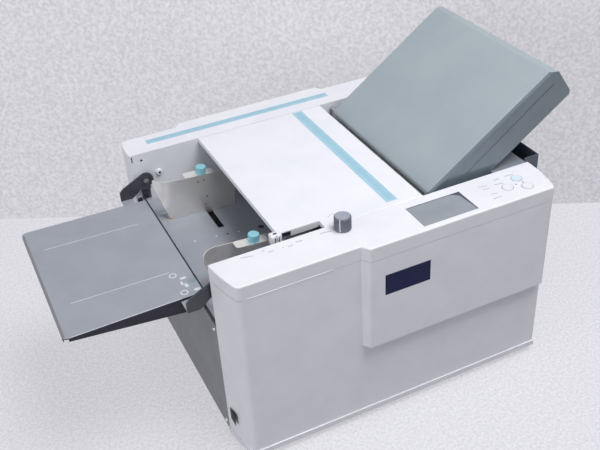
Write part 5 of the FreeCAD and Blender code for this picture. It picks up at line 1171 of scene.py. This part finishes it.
@dataclass
class FeedTray:
    """The feed tray's dark edges, its painted shade and painted highlight lines, and the small marks by the
    front corner.
    """

    top_z: float = 282.0
    middle: Pair = (-408.0, 5.0)
    upright: float = 0.3
    edge_skin: float = 0.08
    edges_y: Pair = (-146.0, 156.0)
    # A dark strip on the tray's hinge edge: painted shade of the gap between tray and table.
    hinge_gap_shade: Quad = (-300.8, -298.2, -143.5, 157.5)
    # A mid grey strip on the tray's top: painted shade along its outer left edge.
    outer_edge_shade: Quad = (-517.6, -514.4, -138.0, 150.0)
    line_width: float = 1.2
    # Painted highlights in white ink: the first two lines stand for the light on the tray's two embossed
    # ribs, the third for the light along its front edge.
    lines: tuple[Segment, ...] = (
        ((-492.8, 92.7), (-334.4, 87.3)), ((-487.7, -66.6), (-332.0, -68.4)),
        ((-508.0, -143.2), (-336.0, -138.8)))
    rings: tuple[Pair, ...] = ((-329.8, -79.0), (-327.5, -127.0))
    ring_radii: Pair = (4.2, 6.3)
    spots: tuple[Quad, ...] = ((-317.5, -92.0, 5.2, 3.0), (-319.0, -112.0, 3.0, 5.2),
                               (-307.5, -128.5, 5.4, 3.0), (-323.5, -104.0, 2.0, 5.0))
    pale_spot: Quad = (-308.0, -104.0, 7.0, 6.5)

    def is_edge(self, centre: Vector, normal: Vector) -> bool:
        """Tells whether a face of the tray is one of its outer upright edges between the tabs.

        Args:
            centre: the face's centre, in millimetres of the machine's axes.
            normal: the way that it faces.

        Returns:
            Whether it is.
        """
        outward = normal.dot(centre - Vector((*self.middle, self.top_z))) > 0
        return abs(normal.z) < self.upright and self.edges_y[0] < centre.y < self.edges_y[1] and outward

    def lay(self, name: str, outlines: list[Outline], look: Look) -> None:
        """Lays prints on the tray as one piece."""
        new_object(name, prints(name, outlines, self.top_z), look, "feed_tray")

    def build(self) -> None:
        """Lays the edges, the painted shade, the painted highlight lines and the marks on the tray."""
        edges = skin_of("tray_dark_edges", "feed_tray", self.is_edge, self.edge_skin)
        new_object("tray_dark_edges", edges, Look.EDGE, "feed_tray")
        self.lay("tray_hinge_line", [rectangle(*self.hinge_gap_shade)], Look.EDGE)
        self.lay("tray_outer_rim", [rectangle(*self.outer_edge_shade)], Look.END)
        self.lay("tray_guide_lines", [bar(*line, self.line_width) for line in self.lines], Look.WHITE_INK)
        marks = [ring_band("ring", place, self.ring_radii, self.top_z) for place in self.rings]
        marks.append(prints("spots", [oval(*spot) for spot in self.spots], self.top_z))
        new_object("tray_marks", joined("tray_marks", marks), Look.WHITE_INK, "feed_tray")
        self.lay("tray_pale_marks", [oval(*self.pale_spot)], Look.CYAN_INK)


@dataclass
class PaperTable:
    """The paper table's printed dots and the coloured size lines beside the rear guide."""

    top_z: float = 258.0
    dots: tuple[Pair, ...] = ((-257.0, 26.8), (-219.0, 26.0), (-178.7, 23.5))
    dark_dots: tuple[Pair, ...] = ((-199.0, 25.0),)
    dot_radius: float = 1.9
    size_lines: tuple[tuple[str, Look, float, float, float], ...] = (
        ("first", Look.CYAN_INK, -284.0, -262.0, 141.0), ("second", Look.PINK_INK, -284.0, -262.0, 133.5),
        ("third", Look.CYAN_INK, -284.0, -260.0, 126.0), ("fourth", Look.WHITE_INK, -280.0, -262.0, 118.0),
        ("fifth", Look.ORANGE_INK, -278.0, -262.0, 109.5))
    line_width: float = 2.6

    def lay(self, name: str, outlines: list[Outline], look: Look) -> None:
        """Lays prints on the tilted table as one piece."""
        new_object(name, MACHINE.tilted(prints(name, outlines, self.top_z)), look, "paper_table")

    def build(self) -> None:
        """Lays the dots and lines."""
        for name, dots, look in (("table_dots", self.dots, Look.WHITE_INK),
                                 ("table_dark_dots", self.dark_dots, Look.HOLE)):
            self.lay(name, [oval(x, y, self.dot_radius, self.dot_radius) for x, y in dots], look)
        for name, look, x0, x1, y in self.size_lines:
            self.lay(f"table_{name}_size_line", [bar((x0, y), (x1, y), self.line_width)], look)


@dataclass
class GuideScrews:
    """The small screws through the rear paper guide."""

    places: tuple[Pair, ...] = ((-213.5, 315.7), (-202.3, 316.2), (-200.7, 282.5), (-204.5, 266.8))
    from_y: float = 0.0
    radius: float = 1.5
    height: float = 0.5

    def build(self) -> None:
        """Seats the screws on the guide's inner face."""
        seats = [MACHINE.seat("rear_paper_guide", (x, self.from_y, z), REARWARD) for x, z in self.places]
        screw_heads("guide_screws", seats, Look.ARM, "rear_paper_guide", self.radius, self.height)


@dataclass
class SideWall:
    """The white bush on the rear wall beside the tray's arm."""

    origin: Point = (-259.5, 0.0, 310.5)
    radius: float = 6.2
    height: float = 3.0
    rim: tuple[Pair, ...] = ((0.0, 1.2), (0.8, 0.3), (1.8, 0.0))
    bore: float = 2.2
    bore_sides: int = 20

    def build(self) -> None:
        """Seats the bush on the wall, with a dark disc of painted shade for its bore."""
        place, _ = MACHINE.seat("rear_side_frame", self.origin, REARWARD)
        bush = turned("wall_bush", cap_profile(self.radius, self.height, SQUARE, self.rim), place, FORWARD)
        new_object("wall_bush", bush, Look.WHITE, "machine_frame")
        profile = cap_profile(self.bore, self.height + MACHINE.skin, SQUARE, SQUARE)
        hole = turned("wall_bush_bore", profile, place, FORWARD, self.bore_sides)
        new_object("wall_bush_bore", hole, Look.HOLE, "machine_frame")


@dataclass
class ReleaseLever:
    """The painted shade of the hole and the two grooves in the release lever's white head."""

    hole: Quad = (-187.5, -163.5, 3.2, 2.0)
    hole_depth: float = 1.0
    top_z: float = 364.0
    from_y: float = -300.0
    groove_x: Pair = (-190.4, -183.8)
    groove_width: float = 1.4
    groove_z: Pair = (350.0, 360.5)
    groove_depth: float = 0.5

    def build(self) -> None:
        """Lays dark painted shade for the hole on the head and for the grooves on its front."""
        hole = slab("lever_hole", oval(*self.hole), self.top_z - self.hole_depth, self.top_z + MACHINE.skin)
        new_object("lever_hole", hole, Look.HOLE, "release_lever")
        face = MACHINE.front_of("release_lever", (self.groove_x[0], self.from_y, self.groove_z[1]))
        grooves = [block("groove", (x, face - MACHINE.skin, self.groove_z[0]),
                         (x + self.groove_width, face + self.groove_depth, self.groove_z[1]))
                   for x in self.groove_x]
        new_object("lever_grooves", joined("lever_grooves", grooves), Look.HOLE, "release_lever")


@dataclass
class RearPanel:
    """The contact blades in the power inlet, the marks on the rocker and the rear cover's screws."""

    from_y: float = 400.0
    socket: Point = (199.0, 230.6, 54.0)
    blade: Point = (2.0, 14.0, 4.0)
    blade_places: tuple[Pair, ...] = ((-7.0, 2.0), (0.0, -2.0), (7.0, 2.0))
    blade_bevel: float = 0.3
    rocker_x: float = 229.0
    rocker_on_z: float = 59.0
    rocker_off_z: float = 49.0
    bar_half: Pair = (0.4, 2.4)
    ring_radii: Pair = (1.68, 2.4)
    ring_steps: int = 24
    screw_places: tuple[Pair, ...] = ((-285.0, 60.0), (-285.0, 320.0), (250.0, 110.0), (250.0, 320.0),
                                      (-20.0, 60.0))

    def blades(self) -> Mesh:
        """Makes the three contact blades, the middle one lower.

        Returns:
            The mesh in the row frame.
        """
        wide, deep, high = self.blade
        x, floor_y, z = self.socket
        return joined("inlet_blades", [
            block("blade", (x + dx - wide / 2, floor_y, z + dz - high / 2),
                  (x + dx + wide / 2, floor_y + deep, z + dz + high / 2), self.blade_bevel)
            for dx, dz in self.blade_places])

    def rocker_marks(self) -> None:
        """Lays a bar and a ring, the usual marks for on and off, on the rocker's two halves."""
        half_x, half_y = self.bar_half
        on_mark = block("rocker_on_mark", (-half_x, -half_y, 0), (half_x, half_y, MACHINE.skin))
        off_mark = ring_band("rocker_off_mark", (0, 0), self.ring_radii, 0, self.ring_steps)
        for name, shape, z in (("rocker_on_mark", on_mark, self.rocker_on_z),
                               ("rocker_off_mark", off_mark, self.rocker_off_z)):
            place, normal = MACHINE.seat("power_rocker", (self.rocker_x, self.from_y, z), FORWARD)
            turn = Vector(UPWARD).rotation_difference(normal).to_matrix().to_4x4()
            new_object(name, MACHINE.placed(shape, place, turn), Look.WHITE_INK, "power_rocker")

    def build(self) -> None:
        """Sets the blades, the marks and the screws."""
        new_object("inlet_blades", self.blades(), Look.TURNED, "machine_frame")
        self.rocker_marks()
        seats = [MACHINE.seat("rear_cover", (x, self.from_y, z), FORWARD) for x, z in self.screw_places]
        screw_heads("rear_cover_screws", seats, Look.ZINC, "machine_frame")


@dataclass
class FoldUnitFlanks:
    """The glossy skins on both flanks of the fold plate unit, darker than its top as painted shade."""

    shells: tuple[str, ...] = ("fold_unit_upper_shell", "fold_unit_lower_shell")
    lean: float = 0.45
    skin: float = 0.08
    seam: Segment = ((311.3, 480.9), (151.2, 362.8))
    seam_width: float = 0.9
    seam_y: Pair = (165.0, 165.2)

    def build(self) -> None:
        """Lays a skin of painted shade on each shell's flank faces and the joint's dark line on the front
        flank.
        """
        for shell in self.shells:
            name = f"{shell}_flanks"
            mesh = skin_of(name, shell, lambda centre, normal: abs(normal.y) > self.lean, self.skin)
            new_object(name, mesh, Look.UNIT_SIDE, "fold_unit")
        seam = slab("flank_seam", bar(*self.seam, self.seam_width), *self.seam_y)
        seam.transform(Matrix.Rotation(math.pi / 2, 4, "X"))
        new_object("flank_seam", seam, Look.EDGE, "fold_unit")


@dataclass(frozen=True)
class Strip:
    """A slim block of one finish that rides on one body."""

    name: str
    low: Point
    high: Point
    bevel: float
    look: Look
    body: str

    def lay(self) -> None:
        """Builds the block where it belongs."""
        new_object(self.name, block(self.name, self.low, self.high, self.bevel), self.look, self.body)


@dataclass
class Seams:
    """The bead by the front cap's joint, the lid notch's liner and the painted shade of its opening, and the
    rear wall's flange.
    """

    strips: tuple[Strip, ...] = (
        Strip("cap_joint_bead", (-270.0, -247.2, 331.0), (-132.0, -246.2, 332.0), 0.3, Look.COVER,
              "machine_frame"),
        Strip("lid_notch_liner", (-158.0, -155.0, 344.5), (-110.5, -153.8, 348.6), 0.2, Look.LID,
              "top_cover"),
        # A thin dark plate in front of the notch's wall: painted shade of the opening where the lever's rod
        # passes.
        Strip("lid_notch_opening", (-178.5, -155.35, 347.5), (-158.0, -154.9, 353.6), 0.0, Look.HOLE,
              "top_cover"),
        Strip("rear_wall_flange", (-308.0, 186.3, 214.0), (-303.0, 187.6, 341.0), 0.3, Look.WALL,
              "machine_frame"))

    def build(self) -> None:
        """Lays the four strips."""
        for strip in self.strips:
            strip.lay()


@dataclass
class ArmDetails:
    """The dark washer on the rear tray arm's pin and the stops by the tray's hinge, coloured as painted
    shade.
    """

    pin: Point = (-288.0, 100.0, 307.0)
    washer: Pair = (4.4, 7.4)
    washer_height: float = 0.5
    washer_sides: int = 32
    stops: tuple[tuple[Point, Point], ...] = (((-311.5, 158.5, 277.3), (-303.5, 163.5, 283.5)),
                                              ((-298.0, 166.8, 277.3), (-290.0, 171.4, 284.0)))
    stop_bevel: float = 0.3

    def build(self) -> None:
        """Seats the washer and sets the stops."""
        (inner, outer), high = self.washer, self.washer_height
        ring = [(inner, 0), (outer, 0), (outer, high), (inner, high), (inner, 0)]
        place, _ = MACHINE.seat("wall_pins", self.pin, REARWARD)
        washer = turned("arm_pin_washer_0", ring, place, FORWARD, self.washer_sides)
        new_object("arm_pin_washer_0", washer, Look.ARM, "machine_frame")
        stops = [block("stop", low, high_end, self.stop_bevel) for low, high_end in self.stops]
        new_object("tray_hinge_stops", joined("tray_hinge_stops", stops), Look.HOLE, "feed_tray")


@dataclass
class GripNotch:
    """The painted shade in the grip notch low on the front cover's left end."""

    # A near-black plate on the shallow notch's floor: painted shade.
    floor: Strip = Strip("grip_notch_floor", (-300.2, -211.0, 55.0), (-299.7, -190.5, 79.0), 0.2, Look.HOLE,
                         "machine_frame")

    def build(self) -> None:
        """Lays a dark plate of painted shade on the notch's floor."""
        self.floor.lay()


@dataclass
class Studio:
    """The floor, the backdrop, the light and the camera."""

    camera_place: Point = (-587.6, -1167.2, 1125.2)
    yaw: float = 0.415
    pitch: float = 0.606
    roll: float = -0.063
    lens_mm: float = 53.336
    sensor_mm: float = 36.0
    clip: Pair = (0.01, 50.0)
    wall_foot: Segment = ((-525.9, 690.4), (686.2, 61.5))
    half: float = 6000.0
    floor_depth: float = 4.0
    wall_height: float = 4000.0
    sky: str = "#F4F5FB"
    sky_strength: float = 0.3
    sky_shown: float = 0.72
    lamps: tuple[tuple[str, Point, float, float], ...] = (
        ("key", (420.0, -800.0, 2700.0), 1.4, 52.0), ("fill", (-2600.0, -750.0, 700.0), 2.0, 25.0))
    lamp_target: Point = (0.0, 0.0, 250.0)

    def surroundings(self) -> None:
        """Lays the floor and stands the backdrop, which is clear from behind and blocks no light."""
        floor_plan = rectangle(-self.half, self.half, -self.half, self.half)
        floor = bpy.data.objects.new("floor", slab("floor", floor_plan, -self.floor_depth, 0.0))
        a, b = (Vector(p) for p in self.wall_foot)
        along = (b - a).normalized() * self.half
        left, right = a - along, b + along
        corners = [(left, 0), (right, 0), (right, self.wall_height), (left, self.wall_height)]
        sheet = bpy.data.meshes.new("backdrop")
        sheet.from_pydata([MACHINE.point(foot.x, foot.y, z) for foot, z in corners], [], [(0, 1, 2, 3)])
        wall = bpy.data.objects.new("backdrop", sheet)
        wall.visible_diffuse = wall.visible_shadow = False
        for item, look in ((floor, FLOOR_LOOK), (wall, BACKDROP_LOOK)):
            bpy.context.scene.collection.objects.link(item)
            item.data.materials.append(look.material())

    def light(self) -> None:
        """Sets the even world light, the soft key lamp and the weaker fill from the left."""
        world = bpy.data.worlds.new("studio")
        world.use_nodes = True
        sky = world.node_tree.nodes["Background"]
        sky.inputs["Color"].default_value = linear(self.sky)
        shown = add_node(world.node_tree, "ShaderNodeMath", {"operation": "MULTIPLY_ADD"},
                         {0: seen_ray(world.node_tree), 1: self.sky_shown - self.sky_strength,
                          2: self.sky_strength})
        world.node_tree.links.new(shown.outputs[0], sky.inputs["Strength"])
        bpy.context.scene.world = world
        for name, place, size, power in self.lamps:
            data = bpy.data.lights.new(name, "AREA")
            data.size = size
            data.energy = power
            lamp = bpy.data.objects.new(name, data)
            lamp.location = MACHINE.point(*place)
            aim = MACHINE.point(*self.lamp_target) - lamp.location
            lamp.rotation_euler = aim.to_track_quat("-Z", "Y").to_euler()
            bpy.context.scene.collection.objects.link(lamp)

    def camera(self) -> None:
        """Sets the camera where the photograph was taken from."""
        cos_pitch, sin_pitch = math.cos(self.pitch), math.sin(self.pitch)
        cos_yaw, sin_yaw = math.cos(self.yaw), math.sin(self.yaw)
        cos_roll, sin_roll = math.cos(self.roll), math.sin(self.roll)
        ahead = Vector((cos_pitch * sin_yaw, cos_pitch * cos_yaw, -sin_pitch))
        level = Vector((cos_yaw, -sin_yaw, 0))
        above = level.cross(ahead)
        side = cos_roll * level + sin_roll * above
        up = -sin_roll * level + cos_roll * above
        turn = Matrix((side, up, -ahead)).transposed()
        data = bpy.data.cameras.new("camera")
        data.lens = self.lens_mm
        data.sensor_width = self.sensor_mm
        data.sensor_fit = "HORIZONTAL"
        data.clip_start, data.clip_end = self.clip
        camera = bpy.data.objects.new("camera", data)
        camera.matrix_world = Matrix.Translation(MACHINE.point(*self.camera_place)) @ turn.to_4x4()
        bpy.context.scene.collection.objects.link(camera)
        bpy.context.scene.camera = camera

    def build(self) -> None:
        """Builds the whole studio."""
        self.surroundings()
        self.light()
        self.camera()
        bpy.context.scene.view_settings.view_transform = "Standard"


def main() -> None:
    """Builds every sub-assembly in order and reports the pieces."""
    logging.basicConfig(level=logging.INFO)
    parts = (SolidFinishes(CAD_LOOKS), ScaleStrips(), BlankPlate(), ControlPanel(), AdjustKnob(),
             GuideKnobs(), FeedTray(), PaperTable(), GuideScrews(), SideWall(), ReleaseLever(), RearPanel(),
             FoldUnitFlanks(), Seams(), ArmDetails(), GripNotch(), Studio())
    for part in parts:
        before = {o.name for o in bpy.data.objects}
        part.build()
        made = sorted({o.name for o in bpy.data.objects} - before)
        LOG.info("%s: %s", type(part).__name__, ", ".join(made) or "finishes only")


if __name__ == "__main__":
    main()
